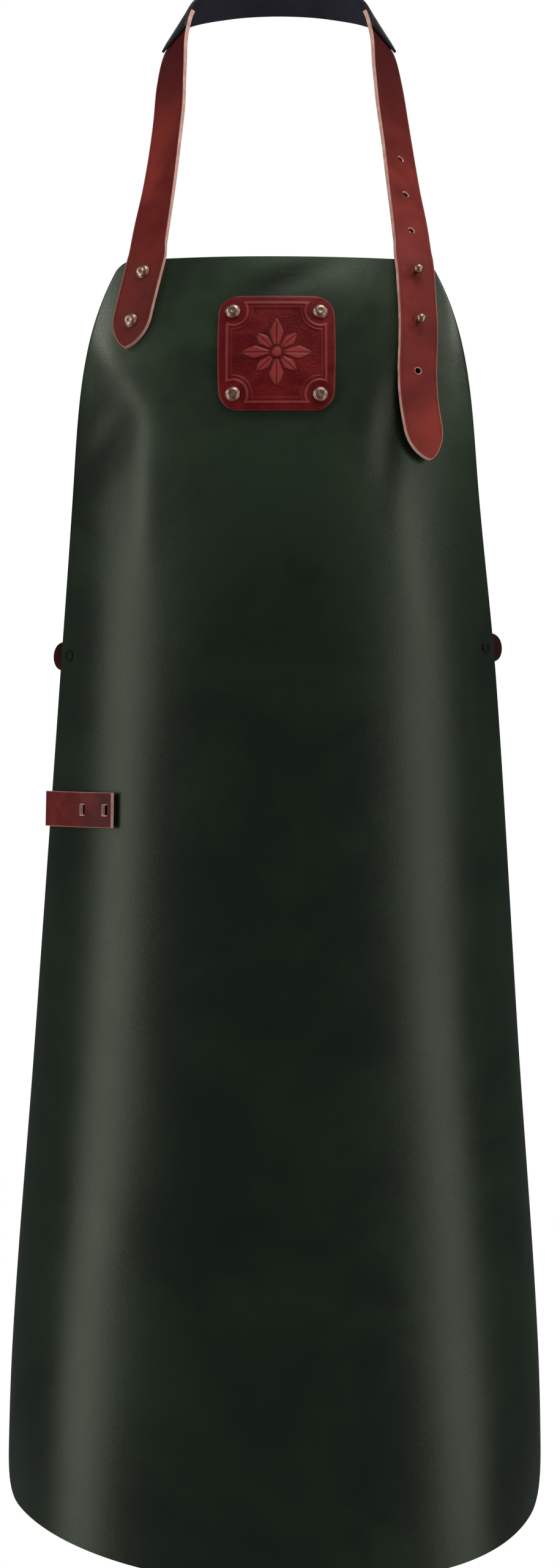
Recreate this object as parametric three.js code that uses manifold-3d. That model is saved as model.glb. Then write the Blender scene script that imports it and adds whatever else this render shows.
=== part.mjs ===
// A blacksmith's leather apron in its worn form: one bowed sheet with a bib and a skirt, two neck straps joined by a
// band at the nape, and plain straps round the back of the waist.
// Millimetres, +Z up. The front faces -Y and +X is the viewer's right. The origin is the middle of the nape band's
// lower edge, on the face that lies against the neck.
import * as THREE from 'three';
import { mergeVertices } from 'three/addons/utils/BufferGeometryUtils.js';
import Module from 'manifold-3d';

const wasm = await Module();
wasm.setup();

// Clearances
const seatGap = 0.3; // between pieces that lie on each other
const liningGap = 0.5; // the same where flat facets come closer, on the panel's hollow side and along the twist
const weldDistance = 0.001; // points nearer than this are one point

// Where the panel hangs from the nape
const napeToBib = 207.6; // down to the bib's top edge
const napeToFront = 258; // forward to the panel's foremost line

// Panel
const panelLength = 894; // straight down from the bib's top edge to the hem's lowest point
const panelHalfWidth = 187; // seen from the front, where the skirt is widest
const panelThickness = 2;
const bibSetback = 39; // the bib's top edge leans back this far
const leanLength = 263; // the lean has run out this far down
const bibCorner = 8; // radius of the bib's two corners
const bibShoulder = 30; // the bib's sides are cut in by this at the top edge
const bibShoulderLength = 150; // and the cut has run out this far down
const hemRise = 50; // the hem's ends lie this much higher than its middle
const hemCurve = { left: 2, right: 3.5 }; // powers of the hem's rise on each side, seen from the front
const hemCorner = 30; // radius of the skirt's two corners

// Neck straps
const strapWidth = 28;
const strapThickness = 3;
const fixedSeat = 89.5; // from the bib's middle line to the fixed strap's, along the top edge
const fixedFoot = 105; // the same at the strap's lower tip
const fixedLength = 63; // down to that tip from the top edge
const fixedRivetDrop = 11; // down to the upper rivet
const fixedRivetPitch = 36;
const tipLength = 23; // of the straps' pointed round ends
const tipFullness = 0.7; // 0.5 is a half ellipse, and more is more pointed
const adjusterSeat = 96.4;
const tailLength = 141; // from the top edge down to the adjustable strap's tip
const tailLift = 6; // the tail's tip stands off the panel by this
const holePitch = 36.6; // along the adjustable strap
const holeDiameter = 4.2;
const firstStudDrop = 10.5; // from the top edge down to the upper stud
const holesAboveStuds = 3;
const holesBelowStuds = 1;
const studCount = 2;

// Band round the nape
const bandWidth = 30;
const bandThickness = 2;
const bandOverlap = 26; // of the band on each strap's end

// Patch on the bib
const patchWidth = 76.5;
const patchHeight = 81;
const patchBulge = 1.4; // its sides swell out by this at mid height
const patchCorner = 13;
const patchThickness = 3;
const patchDrop = 69; // down to its middle from the top edge
const patchShift = 0.7; // its middle lies this far to the viewer's right of the bib's
const patchRivetSpacing = 58.5; // both ways

// Towel loop folded round the panel's edge on the viewer's left
const loopWidth = 24;
const loopThickness = 2.6;
const loopDrop = 376; // down to its middle from the top edge
const loopTilt = 1; // degrees, the free end hangs lower
const loopFront = 68; // length of the front leaf, from the panel's edge
const loopBack = 42; // length of the hidden back leaf
const loopStandoff = 3; // of the front leaf's free end from the panel
const loopRivetInset = 24; // from the panel's edge
const slotWidth = 4;
const slotHeight = 7.5;
const slotInset = 6; // from the free end to the first slot's middle
const slotPitch = 19;

// Tabs and straps at the waist
const tabWidth = 20;
const tabThickness = 3;
const tabOverhang = 19; // past the panel's edge
const tabHold = 34; // inside the panel's edge
const leftTabDrop = 271;
const rightTabDrop = 265;
const tabRivetInset = 9.5; // from the panel's edge
const waistWidth = 20;
const waistThickness = 2.5;
const waistHold = 29; // inside the panel's edge, where a strap starts
const waistLeave = 4.5; // inside the panel's edge, where it bends away to the back
const waistHalfWidth = 143;
const waistDepth = 240; // from the panel's foremost line to the back of the waist

// Clasp at the middle of the back
const claspLength = 46;
const claspHeight = 26;
const claspThickness = 2.4;
const claspCorner = 6;
const claspPegSpread = 12; // from the middle to each peg
const claspMargin = 3; // from the middle to each strap's end

// Rivets and studs
const shankDiameter = 4;
const rivetDiameter = 10;
const rivetHeight = 2.4;
const rivetRim = 0.5; // straight rim under the dome
const tailDiameter = 9;
const tailHeight = 1.1;
const flatHeadHeight = 1.1;
const flatHeadDiameter = 8;
const studBall = 7;
const studNeck = 3.6;
const studNeckLength = 0.8; // between the strap and the ball
const roundSides = 12;

// Steps of the facets
const panelColumns = 30;
const leanRows = 8; // on the upper part, down to leanRowsTo
const leanRowsTo = 160;
const plainRows = 16; // below that
const patchColumns = 6;
const patchRows = 4; // between its corners
const cornerSteps = 4;
const stripStep = 9;
const stripTurn = 18; // degrees
const closestRows = 0.6;

// Cross-sections of the panel, each on an ellipse. drop is a share of panelLength. half, depth and drift are shares of
// panelHalfWidth: the side's distance from the middle, the ellipse's half depth, and the middle's place along X.
// wrap is the angle in degrees where the side lies on the ellipse.
const panelSections = [
  { drop: 0.0, half: 0.7, depth: 0.63, drift: -0.016, wrap: 49.5 },
  { drop: 0.16, half: 0.736, depth: 0.64, drift: -0.016, wrap: 54 },
  { drop: 0.32, half: 0.801, depth: 0.57, drift: -0.007, wrap: 67 },
  { drop: 0.6, half: 0.898, depth: 0.6, drift: -0.013, wrap: 80 },
  { drop: 0.84, half: 0.982, depth: 0.625, drift: -0.018, wrap: 85 },
  { drop: 1.0, half: 1.0, depth: 0.63, drift: -0.022, wrap: 86 },
];

// The adjustable strap on the bib. down is a share of tailLength, out a share of strapWidth and lift of tailLift.
const tailSections = [
  { down: 1.0, out: 0.3, lift: 1.0 },
  { down: 0.92, out: 0.22, lift: 0.8 },
  { down: 0.8, out: 0.125, lift: 0.52 },
  { down: 0.68, out: 0.065, lift: 0.3 },
  { down: 0.56, out: 0.06, lift: 0.13 },
  { down: 0.44, out: 0.09, lift: 0.04 },
  { down: 0.3, out: 0.1, lift: 0 },
  { down: 0.18, out: 0.07, lift: 0 },
  { down: 0.07, out: 0.04, lift: 0 },
  { down: 0.0, out: 0, lift: 0 },
];

// A neck strap's free run from the bib's top edge to the nape. left and right are shares of the two straps' distances
// from the middle, and back and rise are shares of the way. turn and tilt are degrees: the outer face looks to the
// front at turn 0, sideways at 90 and back at 180, and up by tilt.
const neckSections = [
  { left: 0.99, right: 0.992, back: 0.031, rise: 0.037, turn: 31, tilt: 30 },
  { left: 0.962, right: 0.972, back: 0.115, rise: 0.128, turn: 36, tilt: 35 },
  { left: 0.918, right: 0.934, back: 0.234, rise: 0.258, turn: 43, tilt: 32 },
  { left: 0.884, right: 0.901, back: 0.356, rise: 0.39, turn: 47, tilt: 30 },
  { left: 0.857, right: 0.866, back: 0.478, rise: 0.524, turn: 48.5, tilt: 30 },
  { left: 0.845, right: 0.835, back: 0.604, rise: 0.66, turn: 52, tilt: 27 },
  { left: 0.808, right: 0.79, back: 0.752, rise: 0.806, turn: 66, tilt: 26 },
  { left: 0.7, right: 0.68, back: 0.893, rise: 0.909, turn: 95, tilt: 36 },
  { left: 0.396, right: 0.381, back: 0.975, rise: 0.975, turn: 139, tilt: 32 },
];
const bandStart = 6; // the row where the band's end lies
const napeTilt = 25; // degrees, the band's outer face at the nape looks up by this

// A waist strap's free run from the panel to the middle of the back. side is a share of waistHalfWidth, back a share of
// waistDepth, and turn is as above.
const waistSections = [
  { side: 1.0, back: 0.4, turn: 92 },
  { side: 0.985, back: 0.55, turn: 99 },
  { side: 0.9, back: 0.73, turn: 118 },
  { side: 0.72, back: 0.88, turn: 142 },
  { side: 0.46, back: 0.965, turn: 163 },
  { side: 0.2, back: 1.0, turn: 180 },
  { side: 0.1, back: 1.0, turn: 180 },
];

// The loop's front leaf. along is a share of loopFront from its free end, and lift a share of loopStandoff.
const leafSections = [
  { along: 0, lift: 1.0 },
  { along: 0.35, lift: 0.94 },
  { along: 0.65, lift: 0.76 },
  { along: 0.85, lift: 0.45 },
  { along: 1, lift: 0.2 },
];

const materials = {
  panel: new THREE.MeshStandardMaterial({ color: 0x1f2b20, roughness: 0.48, metalness: 0 }),
  strap: new THREE.MeshStandardMaterial({ color: 0x672d27, roughness: 0.5, metalness: 0 }),
  patch: new THREE.MeshStandardMaterial({ color: 0x611617, roughness: 0.42, metalness: 0 }),
  band: new THREE.MeshStandardMaterial({ color: 0x242329, roughness: 0.8, metalness: 0 }),
  rivet: new THREE.MeshStandardMaterial({ color: 0x9a7464, roughness: 0.32, metalness: 1 }),
  darkRivet: new THREE.MeshStandardMaterial({ color: 0x1b1d1a, roughness: 0.5, metalness: 0.6 }),
  clasp: new THREE.MeshStandardMaterial({ color: 0x8a7a66, roughness: 0.4, metalness: 1 }),
};

// Small helpers
const radians = THREE.MathUtils.degToRad;
const count = (length) => Array.from({ length }, (_, index) => index);
const between = (start, end, share) => start + (end - start) * share;
const moved = (point, direction, distance) => point.clone().addScaledVector(direction, distance);

// A column of a table at a place between its rows, on a smooth curve through them.
function smoothColumn(rows, key, name, at) {
  const last = rows.length - 1;
  let first = 0;
  while (first < last - 1 && rows[first + 1][key] < at) first += 1;
  const slope = (index) => {
    const before = rows[Math.max(index - 1, 0)];
    const after = rows[Math.min(index + 1, last)];
    return (after[name] - before[name]) / (after[key] - before[key]);
  };
  const start = rows[first];
  const end = rows[first + 1];
  const span = end[key] - start[key];
  const share = (at - start[key]) / span;
  const rest = 1 - share;
  return (
    (1 + 2 * share) * rest * rest * start[name] +
    share * rest * rest * span * slope(first) +
    (1 + 2 * rest) * share * share * end[name] -
    rest * share * share * span * slope(first + 1)
  );
}

// The direction of an outer face from its turn and tilt in degrees. side is -1 on the viewer's left and 1 on the right.
function facing(side, turn, tilt) {
  const level = Math.cos(radians(tilt));
  return new THREE.Vector3(
    side * Math.sin(radians(turn)) * level,
    -Math.cos(radians(turn)) * level,
    Math.sin(radians(tilt)),
  );
}

// The panel's surface

function sectionAt(drop) {
  const column = (name) => smoothColumn(panelSections, 'drop', name, drop / panelLength);
  const wrap = radians(column('wrap'));
  return {
    wrap,
    wide: (column('half') * panelHalfWidth) / Math.sin(wrap),
    deep: column('depth') * panelHalfWidth,
    middle: column('drift') * panelHalfWidth,
  };
}

const arcSpeed = (section, angle) => Math.hypot(section.wide * Math.cos(angle), section.deep * Math.sin(angle));

function arcTo(section, angle) {
  const steps = 24;
  const middles = count(steps).map((index) => arcSpeed(section, (angle * (index + 0.5)) / steps));
  return (middles.reduce((sum, speed) => sum + speed, 0) * angle) / steps;
}

function angleAt(section, arc) {
  let angle = arc / section.wide;
  for (let tries = 0; tries < 4; tries += 1) {
    angle -= (arcTo(section, angle) - arc) / arcSpeed(section, angle);
  }
  return angle;
}

function halfGirth(drop) {
  const section = sectionAt(drop);
  return arcTo(section, section.wrap);
}

// The outer face's point at a distance along the section from its middle, and a drop below the bib's top edge.
function panelPoint(arc, drop) {
  const section = sectionAt(drop);
  const angle = angleAt(section, arc);
  const lean = bibSetback * Math.max(0, 1 - drop / leanLength) ** 3;
  return new THREE.Vector3(
    section.middle + section.wide * Math.sin(angle),
    -napeToFront + lean + section.deep * (1 - Math.cos(angle)),
    -napeToBib - drop,
  );
}

// A seat on the panel: a point lifted off its outer face, and the way that face looks.
function panelSeat(arc, drop, lift = 0) {
  const reach = 0.5;
  const right = panelPoint(arc + reach, drop).sub(panelPoint(arc - reach, drop));
  const down = panelPoint(arc, drop + reach).sub(panelPoint(arc, drop - reach));
  const out = down.cross(right).normalize();
  return { point: moved(panelPoint(arc, drop), out, lift), out };
}

// Solids

// A closed mesh from points and triangles, with coinciding points joined, collapsed triangles left out and its faces
// pointing out.
function closedGeometry(points, faces) {
  const loose = new THREE.BufferGeometry().setFromPoints(points);
  loose.setIndex(faces);
  const joined = mergeVertices(loose, weldDistance);
  const index = joined.getIndex().array;
  const triangles = count(index.length / 3)
    .map((face) => [index[3 * face], index[3 * face + 1], index[3 * face + 2]])
    .filter(([a, b, c]) => a !== b && b !== c && c !== a);
  const corner = (vertex) => new THREE.Vector3().fromBufferAttribute(joined.getAttribute('position'), vertex);
  const volume = triangles.reduce((sum, [a, b, c]) => sum + corner(a).dot(corner(b).cross(corner(c))), 0);
  joined.setIndex(triangles.flatMap(([a, b, c]) => (volume < 0 ? [a, c, b] : [a, b, c])));
  joined.computeVertexNormals();
  return joined;
}

// A closed sheet between two grids of points with the same rows and columns.
function sheetGeometry(inner, outer) {
  const rows = inner.length;
  const columns = inner[0].length;
  const faces = [];
  const onInner = (row, column) => row * columns + column;
  const onOuter = (row, column) => (rows + row) * columns + column;
  const quad = (a, b, c, d) => faces.push(a, b, c, a, c, d);
  for (const row of count(rows - 1)) {
    for (const column of count(columns - 1)) {
      quad(onOuter(row, column), onOuter(row + 1, column), onOuter(row + 1, column + 1), onOuter(row, column + 1));
      quad(onInner(row, column), onInner(row, column + 1), onInner(row + 1, column + 1), onInner(row + 1, column));
    }
    quad(onInner(row, 0), onInner(row + 1, 0), onOuter(row + 1, 0), onOuter(row, 0));
    const last = columns - 1;
    quad(onOuter(row, last), onOuter(row + 1, last), onInner(row + 1, last), onInner(row, last));
  }
  for (const column of count(columns - 1)) {
    quad(onInner(0, column), onOuter(0, column), onOuter(0, column + 1), onInner(0, column + 1));
    const last = rows - 1;
    quad(onOuter(last, column), onInner(last, column), onInner(last, column + 1), onOuter(last, column + 1));
  }
  return closedGeometry([...inner.flat(), ...outer.flat()], faces);
}

function toSolid(geometry) {
  const bare = geometry.clone();
  bare.deleteAttribute('normal');
  bare.deleteAttribute('uv');
  const joined = mergeVertices(bare, weldDistance);
  return new wasm.Manifold(
    new wasm.Mesh({
      numProp: 3,
      vertProperties: new Float32Array(joined.getAttribute('position').array),
      triVerts: new Uint32Array(joined.getIndex().array),
    }),
  );
}

function toGeometry(solid) {
  const mesh = solid.getMesh();
  const geometry = new THREE.BufferGeometry();
  geometry.setAttribute('position', new THREE.BufferAttribute(mesh.vertProperties, mesh.numProp));
  geometry.setIndex(new THREE.BufferAttribute(mesh.triVerts, 1));
  geometry.computeVertexNormals();
  return geometry;
}

const cutWith = (geometry, tools) =>
  toGeometry(tools.reduce((solid, tool) => solid.subtract(toSolid(tool)), toSolid(geometry)));

// Turns a geometry that was made along +Y so that it runs along a seat's outward direction.
function placeAlong(geometry, seat) {
  const turn = new THREE.Quaternion().setFromUnitVectors(new THREE.Vector3(0, 1, 0), seat.out);
  return geometry.applyQuaternion(turn).translate(...seat.point);
}

// A round punch through whatever lies at a seat.
const punch = (seat, diameter, reach) =>
  placeAlong(new THREE.CylinderGeometry(diameter / 2, diameter / 2, 2 * reach, roundSides), seat);

// A track that a strip follows, through stations that each have a point and an outward direction.
function makeTrack(stations) {
  const stepsPerStation = 40;
  const line = new THREE.CatmullRomCurve3(stations.map((station) => station.point));
  const outs = new THREE.CatmullRomCurve3(stations.map((station) => station.out));
  line.arcLengthDivisions = stepsPerStation * (stations.length - 1);
  const lengths = line.getLengths();
  const length = lengths[lengths.length - 1];
  const at = (distance) => {
    const along = line.getTangentAt(distance / length);
    const out = outs.getPoint(line.getUtoTmapping(distance / length));
    out.addScaledVector(along, -out.dot(along)).normalize();
    return { point: line.getPointAt(distance / length), along, out, across: along.clone().cross(out) };
  };
  return { length, at, stations: stations.length, distanceTo: (station) => lengths[station * stepsPerStation] };
}

// How a strip's end is shaped: rows at a distance from the end, each with its share of the full half width.
const squareEnd = [{ from: 0, share: 1 }];

function roundEnd(length, fullness) {
  return count(cornerSteps + 1).map((step) => {
    const angle = (step / cornerSteps) * (Math.PI / 2);
    return { from: length * (1 - Math.cos(angle)), share: Math.sin(angle) ** (2 * fullness) };
  });
}

// Where strips on a track have their rows: at each station, and between two that are far apart or where it bends.
function rowDistances(track) {
  return count(track.stations - 1).flatMap((station) => {
    const start = track.distanceTo(station);
    const end = track.distanceTo(station + 1);
    const bend = track.at(start).along.angleTo(track.at(end).along);
    const steps = Math.ceil(Math.max((end - start) / stripStep, bend / radians(stripTurn)));
    return count(steps).map((step) => between(start, end, step / steps));
  });
}

// A strip of leather along a track. Its inner face is lifted off the track, and its outer face lies further out.
function strip({ track, from, to, width, thickness, lift = 0, start = squareEnd, end = squareEnd }) {
  const first = from + start[start.length - 1].from;
  const last = to - end[end.length - 1].from;
  const inside = rowDistances(track).filter((distance) => distance > first + closestRows && distance < last - closestRows);
  const rows = [
    ...start.slice(0, -1).map((row) => ({ distance: from + row.from, share: row.share })),
    ...[first, ...inside, last].map((distance) => ({ distance, share: 1 })),
    ...end.slice(0, -1).map((row) => ({ distance: to - row.from, share: row.share })).reverse(),
  ];
  const face = (height) =>
    rows.map(({ distance, share }) => {
      const frame = track.at(distance);
      const middle = moved(frame.point, frame.out, height);
      return [-1, 1].map((side) => moved(middle, frame.across, (side * share * width) / 2));
    });
  return sheetGeometry(face(lift), face(lift + thickness));
}

// A rivet or stud about the Y axis, with its head's underside at 0 and its tail below the grip.
function fastener(headProfile, grip) {
  const profile = [
    [0, -grip - tailHeight],
    [tailDiameter / 2, -grip - tailHeight],
    [tailDiameter / 2, -grip],
    [shankDiameter / 2, -grip],
    ...headProfile,
  ];
  return new THREE.LatheGeometry(profile.map(([x, y]) => new THREE.Vector2(x, y)), roundSides);
}

function domeHead() {
  const steps = 3;
  const dome = count(steps + 1).map((step) => {
    const angle = (step / steps) * (Math.PI / 2);
    const radius = step === steps ? 0 : (rivetDiameter / 2) * Math.cos(angle);
    return [radius, rivetRim + (rivetHeight - rivetRim) * Math.sin(angle)];
  });
  return [[shankDiameter / 2, 0], [rivetDiameter / 2, 0], ...dome];
}

const flatHead = () => [
  [shankDiameter / 2, 0],
  [flatHeadDiameter / 2, 0],
  [flatHeadDiameter / 2, flatHeadHeight],
  [0, flatHeadHeight],
];

// The ball sits on a neck that narrows inside the strap's hole. The head's underside is the strap's outer face.
function ballHead() {
  const steps = 4;
  const waistAngle = Math.asin(studNeck / studBall);
  const middle = studNeckLength + (studBall / 2) * Math.cos(waistAngle);
  const ball = count(steps + 1).map((step) => {
    const angle = between(waistAngle, Math.PI, step / steps);
    const radius = step === steps ? 0 : (studBall / 2) * Math.sin(angle);
    return [radius, middle - (studBall / 2) * Math.cos(angle)];
  });
  return [[shankDiameter / 2, -strapThickness - seatGap], [studNeck / 2, -strapThickness - seatGap], ...ball];
}

const shankHole = shankDiameter + 2 * seatGap;
const lift = (seat, distance) => ({ point: moved(seat.point, seat.out, distance), out: seat.out });

// The object

const object = new THREE.Group();

function add(name, geometry, material, seat) {
  const mesh = new THREE.Mesh(geometry, material);
  mesh.name = name;
  if (seat) {
    mesh.position.copy(seat.point);
    mesh.quaternion.setFromUnitVectors(new THREE.Vector3(0, 1, 0), seat.out);
  }
  object.add(mesh);
}

// The neck loop is one track: up the fixed strap, round the nape and down the adjustable strap.

function neckLoop() {
  const fixedSteps = 8; // of the track on the bib
  const fixedStations = count(fixedSteps + 1).map((step) => {
    const share = 1 - step / fixedSteps;
    return panelSeat(-between(fixedSeat, fixedFoot, share), fixedLength * share, seatGap);
  });
  const tailStations = tailSections.map((row) =>
    panelSeat(adjusterSeat + row.out * strapWidth, row.down * tailLength, seatGap + row.lift * tailLift),
  );
  const napeOut = facing(1, 180, napeTilt);
  const napeUp = new THREE.Vector3(0, -Math.sin(radians(napeTilt)), Math.cos(radians(napeTilt)));
  const nape = { point: moved(napeUp.multiplyScalar(bandWidth / 2), napeOut, -strapThickness - liningGap), out: napeOut };
  const freeRun = (side, name, foot) =>
    neckSections.map((row) => ({
      point: new THREE.Vector3(
        row[name] * foot.x,
        between(foot.y, nape.point.y, row.back),
        between(foot.z, nape.point.z, row.rise),
      ),
      out: facing(side, row.turn, row.tilt),
    }));
  const left = freeRun(-1, 'left', fixedStations[fixedSteps].point);
  const right = freeRun(1, 'right', tailStations[tailStations.length - 1].point).reverse();
  const beforeNape = [...fixedStations, ...left];
  const beforeTail = [...beforeNape, nape, ...right];
  const track = makeTrack([...beforeTail, ...tailStations.reverse()]);
  return {
    track,
    fixedEdge: track.distanceTo(fixedSteps),
    bandFrom: track.distanceTo(fixedStations.length + bandStart),
    bandTo: track.distanceTo(beforeNape.length + right.length - bandStart),
    adjusterEdge: track.distanceTo(beforeTail.length),
  };
}

const neck = neckLoop();
const tip = roundEnd(tipLength, tipFullness);
const fixedRivetSeats = count(2).map((index) => neck.track.at(neck.fixedEdge - fixedRivetDrop - index * fixedRivetPitch));
const holeSeats = count(holesAboveStuds + studCount + holesBelowStuds).map((index) =>
  neck.track.at(neck.adjusterEdge + firstStudDrop + (index - holesAboveStuds) * holePitch),
);
const studSeats = holeSeats.slice(holesAboveStuds, holesAboveStuds + studCount);

function addNeckStraps() {
  const shape = { track: neck.track, width: strapWidth, thickness: strapThickness };
  const fixed = strip({ ...shape, from: 0, to: neck.bandFrom + bandOverlap, start: tip });
  const adjustable = strip({ ...shape, from: neck.bandTo - bandOverlap, to: neck.track.length, end: tip });
  const through = 2 * strapThickness;
  add('fixed_neck_strap', cutWith(fixed, fixedRivetSeats.map((seat) => punch(seat, shankHole, through))), materials.strap);
  add(
    'adjustable_neck_strap',
    cutWith(adjustable, holeSeats.map((seat) => punch(seat, holeDiameter, through))),
    materials.strap,
  );
  const band = strip({
    track: neck.track,
    from: neck.bandFrom,
    to: neck.bandTo,
    width: bandWidth,
    thickness: bandThickness,
    lift: strapThickness + liningGap,
  });
  add('neck_band', band, materials.band);
}

const strapGrip = seatGap + strapThickness + seatGap + panelThickness + liningGap;

function addStrapFasteners() {
  fixedRivetSeats.forEach((seat, index) => {
    const head = lift(seat, strapThickness + seatGap);
    add(`strap_rivet_${index + 1}`, fastener(domeHead(), strapGrip), materials.rivet, head);
  });
  studSeats.forEach((seat, index) => {
    const face = lift(seat, strapThickness);
    add(`adjuster_stud_${index + 1}`, fastener(ballHead(), strapGrip - seatGap), materials.rivet, face);
  });
}

// The patch, curved to the bib
const patchRivetSeats = [-1, 1].flatMap((up) =>
  [-1, 1].map((side) =>
    panelSeat(patchShift + (side * patchRivetSpacing) / 2, patchDrop + (up * patchFall(patchRivetSpacing)) / 2),
  ),
);

// The drop that a length up or down the leaning bib takes at the patch.
function patchFall(length) {
  const slope = ((3 * bibSetback) / leanLength) * Math.max(0, 1 - patchDrop / leanLength) ** 2;
  return length * Math.cos(Math.atan(slope));
}

function patchGeometry() {
  const halfHeight = patchHeight / 2;
  const corners = count(cornerSteps).map((step) => {
    const angle = (step / cornerSteps) * (Math.PI / 2);
    return { up: halfHeight - patchCorner * (1 - Math.cos(angle)), inset: patchCorner * (1 - Math.sin(angle)) };
  });
  const straight = count(patchRows + 1).map((step) => ({
    up: between(halfHeight - patchCorner, patchCorner - halfHeight, step / patchRows),
    inset: 0,
  }));
  const rows = [...corners, ...straight, ...corners.map(({ up, inset }) => ({ up: -up, inset })).reverse()];
  const face = (height) =>
    rows.map(({ up, inset }) => {
      const half = patchWidth / 2 + patchBulge * (1 - (up / halfHeight) ** 2) - inset;
      return count(patchColumns + 1).map((column) => {
        const across = between(-half, half, column / patchColumns);
        return panelSeat(patchShift + across, patchDrop - patchFall(up), height).point;
      });
    });
  return sheetGeometry(face(seatGap), face(seatGap + patchThickness));
}

function addPatch() {
  const punches = patchRivetSeats.map((seat) => punch(seat, shankHole, 2 * patchThickness));
  add('badge_patch', cutWith(patchGeometry(), punches), materials.patch);
  const grip = seatGap + patchThickness + seatGap + panelThickness + liningGap;
  patchRivetSeats.forEach((seat, index) => {
    const head = lift(seat, seatGap + patchThickness + seatGap);
    add(`patch_rivet_${index + 1}`, fastener(domeHead(), grip), materials.rivet, head);
  });
}

// The towel loop, on the viewer's left edge

const loopDropAt = (arc, edge) => loopDrop + Math.tan(radians(loopTilt)) * (arc + edge - loopFront / 2);

function loopTrack() {
  const edge = halfGirth(loopDrop);
  const front = leafSections.map((row) => {
    const arc = -edge + loopFront * (1 - row.along);
    return panelSeat(arc, loopDropAt(arc, edge), seatGap + row.lift * loopStandoff);
  });
  const rim = panelSeat(-edge, loopDropAt(-edge, edge), -panelThickness / 2);
  const beyond = panelSeat(-edge - 1, loopDropAt(-edge - 1, edge)).point.sub(panelSeat(-edge, loopDropAt(-edge, edge)).point);
  beyond.normalize();
  const rimLift = panelThickness / 2 + seatGap + leafSections[leafSections.length - 1].lift * loopStandoff;
  const bendSteps = 4;
  const bend = count(bendSteps - 1).map((step) => {
    const angle = ((step + 1) / bendSteps) * Math.PI;
    const out = rim.out.clone().multiplyScalar(Math.cos(angle)).addScaledVector(beyond, Math.sin(angle));
    return { point: moved(rim.point, out, rimLift), out };
  });
  const backSteps = 4;
  const back = count(backSteps + 1).map((step) => {
    const arc = -edge + (loopBack * step) / backSteps;
    const seat = panelSeat(arc, loopDropAt(arc, edge), -panelThickness / 2 - rimLift);
    return { point: seat.point, out: seat.out.negate() };
  });
  return makeTrack([...front, ...bend, ...back]);
}

const loopRivetSeat = () => {
  const edge = halfGirth(loopDrop);
  const arc = -edge + loopRivetInset;
  return panelSeat(arc, loopDropAt(arc, edge));
};

function slotTool(frame) {
  const slot = new THREE.BoxGeometry(slotHeight, slotWidth, 4 * loopThickness);
  const turn = new THREE.Matrix4().makeBasis(frame.across, frame.along, frame.out);
  return slot.applyMatrix4(turn).translate(...frame.point);
}

function addTowelLoop() {
  const track = loopTrack();
  const leather = strip({ track, from: 0, to: track.length, width: loopWidth, thickness: loopThickness });
  const slots = count(2).map((index) => slotTool(track.at(slotInset + index * slotPitch)));
  const rivetHole = punch(lift(loopRivetSeat(), -panelThickness - loopThickness), shankHole, loopThickness);
  add('towel_loop', cutWith(leather, [...slots, rivetHole]), materials.strap);
  const rimGap = leafSections[leafSections.length - 1].lift * loopStandoff + seatGap;
  const grip = seatGap + panelThickness + rimGap + loopThickness + liningGap;
  add('loop_rivet', fastener(flatHead(), grip), materials.rivet, lift(loopRivetSeat(), seatGap));
}

// The waist: a tab behind each edge of the panel, and a strap from it round the back

const tabDepth = panelThickness + liningGap + tabThickness;
const waistSeatDepth = tabDepth + liningGap + waistThickness;

function addWaistSide(name, side, drop) {
  const edge = halfGirth(drop);
  const stations = (from, to, depth) => {
    const steps = Math.ceil((to - from) / stripStep);
    return count(steps + 1).map((step) => panelSeat(side * between(from, to, step / steps), drop, -depth));
  };
  const tabTrack = makeTrack(stations(edge - tabHold, edge + tabOverhang, tabDepth));
  const rivetSeat = panelSeat(side * (edge - tabRivetInset), drop);
  const holeReach = panelThickness + tabThickness + waistThickness + 2 * liningGap;
  const tools = () => [punch(rivetSeat, shankHole, 2 * holeReach)];
  const tab = strip({
    track: tabTrack,
    from: 0,
    to: tabTrack.length,
    width: tabWidth,
    thickness: tabThickness,
    end: roundEnd(tabOverhang, 0.5),
  });
  add(`${name}_tab`, cutWith(tab, tools()), materials.strap);
  const seated = stations(edge - waistHold, edge - waistLeave, waistSeatDepth);
  const backLevel = -napeToBib - (leftTabDrop + rightTabDrop) / 2;
  const free = waistSections.map((row) => ({
    point: new THREE.Vector3(
      side * row.side * waistHalfWidth,
      -napeToFront + row.back * waistDepth,
      between(-napeToBib - drop, backLevel, row.back),
    ),
    out: facing(side, row.turn, 0),
  }));
  const end = { point: new THREE.Vector3(side * claspMargin, -napeToFront + waistDepth, backLevel), out: facing(side, 180, 0) };
  const waistTrack = makeTrack([...seated, ...free, end]);
  const strap = strip({ track: waistTrack, from: 0, to: waistTrack.length, width: waistWidth, thickness: waistThickness });
  add(`${name}_waist_strap`, cutWith(strap, [...tools(), punch(claspPegSeat(side), shankHole, holeReach)]), materials.strap);
  const grip = seatGap + waistSeatDepth + liningGap;
  add(`${name}_tab_rivet`, fastener(flatHead(), grip), materials.darkRivet, lift(rivetSeat, seatGap));
}

// A clasp peg's seat on the inner face of a strap's end, looking back.
function claspPegSeat(side) {
  const level = -napeToBib - (leftTabDrop + rightTabDrop) / 2;
  return {
    point: new THREE.Vector3(side * claspPegSpread, -napeToFront + waistDepth, level),
    out: new THREE.Vector3(0, 1, 0),
  };
}

function claspOutline() {
  const [half, high] = [claspLength / 2 - claspCorner, claspHeight / 2 - claspCorner];
  const outline = new THREE.Shape();
  outline.absarc(half, high, claspCorner, 0, Math.PI / 2);
  outline.absarc(-half, high, claspCorner, Math.PI / 2, Math.PI);
  outline.absarc(-half, -high, claspCorner, Math.PI, 1.5 * Math.PI);
  outline.absarc(half, -high, claspCorner, 1.5 * Math.PI, 2 * Math.PI);
  return outline;
}

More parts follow.
